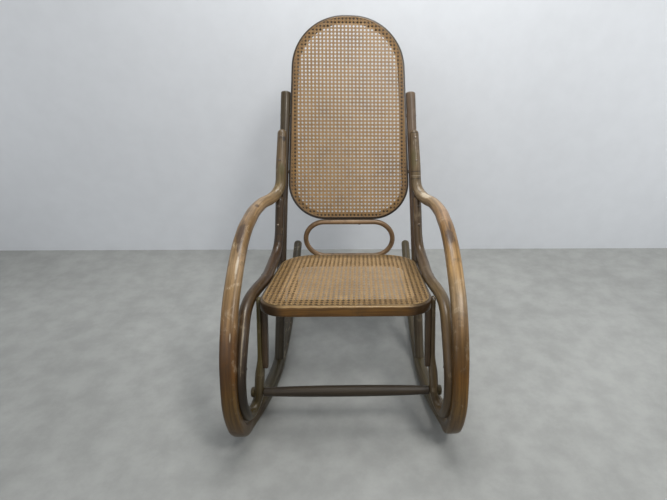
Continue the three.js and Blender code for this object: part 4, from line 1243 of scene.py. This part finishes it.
def plain(name, colour, cloudy):
    """A plain surface with soft clouds, cloudy being how far they go from the colour."""
    material, tree, shader = new_material(name)
    spot = spot_of(tree)
    broad, small = (ramp(tree, noise(tree, spot, *kind), 0.3, 0.7) for kind in ((1.6, 4, 0.6),
                                                                               (13.0, 5, 0.65)))
    cloud = times(tree, plus(tree, broad, small), 0.5)
    dim, lit = (tuple(v * w for v in colour[:3]) + (1.0,) for w in (1 - cloudy, 1 + cloudy))
    tree.links.new(mix(tree, cloud, dim, lit), shader.inputs["Base Color"])
    shader.inputs["Roughness"].default_value = PLAIN_DULL
    return material


def stage_plane(name, place, turn, paint):
    bpy.ops.object.select_all(action="DESELECT")
    bpy.ops.mesh.primitive_plane_add(size=ROOM_WIDE, location=place, rotation=(turn, 0, 0))
    plane = bpy.context.object
    plane.name = name
    bpy.ops.object.transform_apply(location=True, rotation=True)
    plane.data.materials.append(paint)
    return plane


floor = stage_plane("floor", (0, -1.0, -0.0005), 0, plain("pale_floor", tone(145, 147, 145), 0.16))
wall_paint = plain("pale_wall", tone(212, 216, 221), 0.03)
wall = stage_plane("wall", (0, WALL_PLACE, 3.0), math.pi / 2, wall_paint)
tree = wall_paint.node_tree
behind = wire(tree, "ShaderNodeNewGeometry").outputs["Backfacing"]
clear = wire(tree, "ShaderNodeBsdfTransparent").outputs[0]
one_way = wire(tree, "ShaderNodeMixShader", {0: behind, 1: tree.nodes["Principled BSDF"].outputs[0],
                                             2: clear})
tree.links.new(one_way.outputs[0], tree.nodes["Material Output"].inputs["Surface"])

# %% [markdown]
# Soft light
#
# The light is a room's: a window, a bright ceiling, two broad weak lamps from the front and the side,
# and three that wash the wall. No lamp shows to the camera. What the camera and reflections see
# beyond the floor is a paler room than the one that lights the chair.

# %% Room and lamps
world = bpy.data.worlds.new("soft_room")
scene.world = world
world.use_nodes = True
sky = world.node_tree
lit_by = sky.nodes["Background"]
lit_by.inputs[0].default_value = (0.86, 0.88, 0.91, 1)
lit_by.inputs[1].default_value = 0.32
seen = wire(sky, "ShaderNodeBackground", {0: tone(180, 183, 185), 1: 1.0})
path = wire(sky, "ShaderNodeLightPath").outputs
through = math_node(sky, "MAXIMUM", path["Is Glossy Ray"], path["Is Transmission Ray"])
looked_at = math_node(sky, "MAXIMUM", path["Is Camera Ray"], through)
room = wire(sky, "ShaderNodeMixShader", {0: looked_at, 1: lit_by.outputs[0], 2: seen.outputs[0]})
sky.links.new(room.outputs[0], sky.nodes["World Output"].inputs["Surface"])


def softbox(name, place, target, size, power, colour=(1, 1, 1)):
    """A square lamp in metres and watts that faces its target and isn't seen itself."""
    bpy.ops.object.light_add(type="AREA", location=place)
    lamp = bpy.context.object
    lamp.name = name
    lamp.visible_camera = False
    lamp.data.size, lamp.data.energy, lamp.data.color = size, power, colour
    lamp.rotation_euler = (Vector(target) - Vector(place)).to_track_quat("-Z", "Y").to_euler()


for lamp in (
        ("window", (1.1, -1.7, 2.7), (0, 0, 0.4), 0.55, 33, (1.0, 0.97, 0.93)),
        ("ceiling", (0.2, -0.15, 2.7), (0.1, 0, 0.2), 0.9, 27, (1.0, 0.98, 0.95)),
        ("side", (2.3, -0.4, 1.5), (0.5, 0.6, 0.5), 1.2, 7),
        ("front", (-1.2, -2.4, 2.0), (0, 0.4, 0.6), 2.0, 13),
        ("wall_wash", (0.0, 0.3, 2.3), (0, WALL_PLACE, 0.45), 0.7, 11),
        ("left_wash", (-1.9, 0.0, 0.9), (-0.2, WALL_PLACE, 0.6), 0.8, 1.5),
        ("right_wash", (2.0, 0.0, 0.9), (0.2, WALL_PLACE, 0.6), 0.8, 2.5)):
    softbox(*lamp)

# %% [markdown]
# The camera
#
# The photograph was taken from standing height with a wide lens, looking a little down, and its
# frame was cropped off centre; a small shift of the lens stands for that crop. The angles come from
# matching the CAD's corners to the photograph.

# %% The camera
YAW, ROLL, PITCH_DOWN = math.radians(-1.85), math.radians(0.63), math.radians(27.12)
LENS_PX, CENTRE_PX, ASIDE, AWAY, CAMERA_HEIGHT = 482.0, 374.5, -0.0828, 1.3525, 1.1073
SENSOR, FIT_ORIGIN = 36, -0.057
right = Vector((math.cos(YAW), math.sin(YAW), 0))
ahead = Vector((-math.sin(YAW) * math.cos(PITCH_DOWN), math.cos(YAW) * math.cos(PITCH_DOWN),
                -math.sin(PITCH_DOWN)))
up = right.cross(ahead)
right_turned = math.cos(ROLL) * right + math.sin(ROLL) * up
up_turned = -math.sin(ROLL) * right + math.cos(ROLL) * up
level_ahead = Vector((-math.sin(YAW), math.cos(YAW), 0))
stand = -right * ASIDE - level_ahead * AWAY
camera = bpy.data.objects.new("camera", bpy.data.cameras.new("camera"))
scene.collection.objects.link(camera)
pose = Matrix.Identity(4)
for column, axis in enumerate((right_turned, up_turned, -ahead)):
    for row in range(3):
        pose[row][column] = axis[row]
pose.translation = (stand.x, stand.y + FIT_ORIGIN, CAMERA_HEIGHT)
camera.matrix_world = pose
camera.data.sensor_width = SENSOR
camera.data.lens = LENS_PX * SENSOR / IMAGE_WIDE
camera.data.shift_x = 0.5 - CENTRE_PX / IMAGE_WIDE
scene.camera = camera
scene.view_settings.view_transform = "Standard"
print("lens %.1f mm, shift %.3f" % (camera.data.lens, camera.data.shift_x))
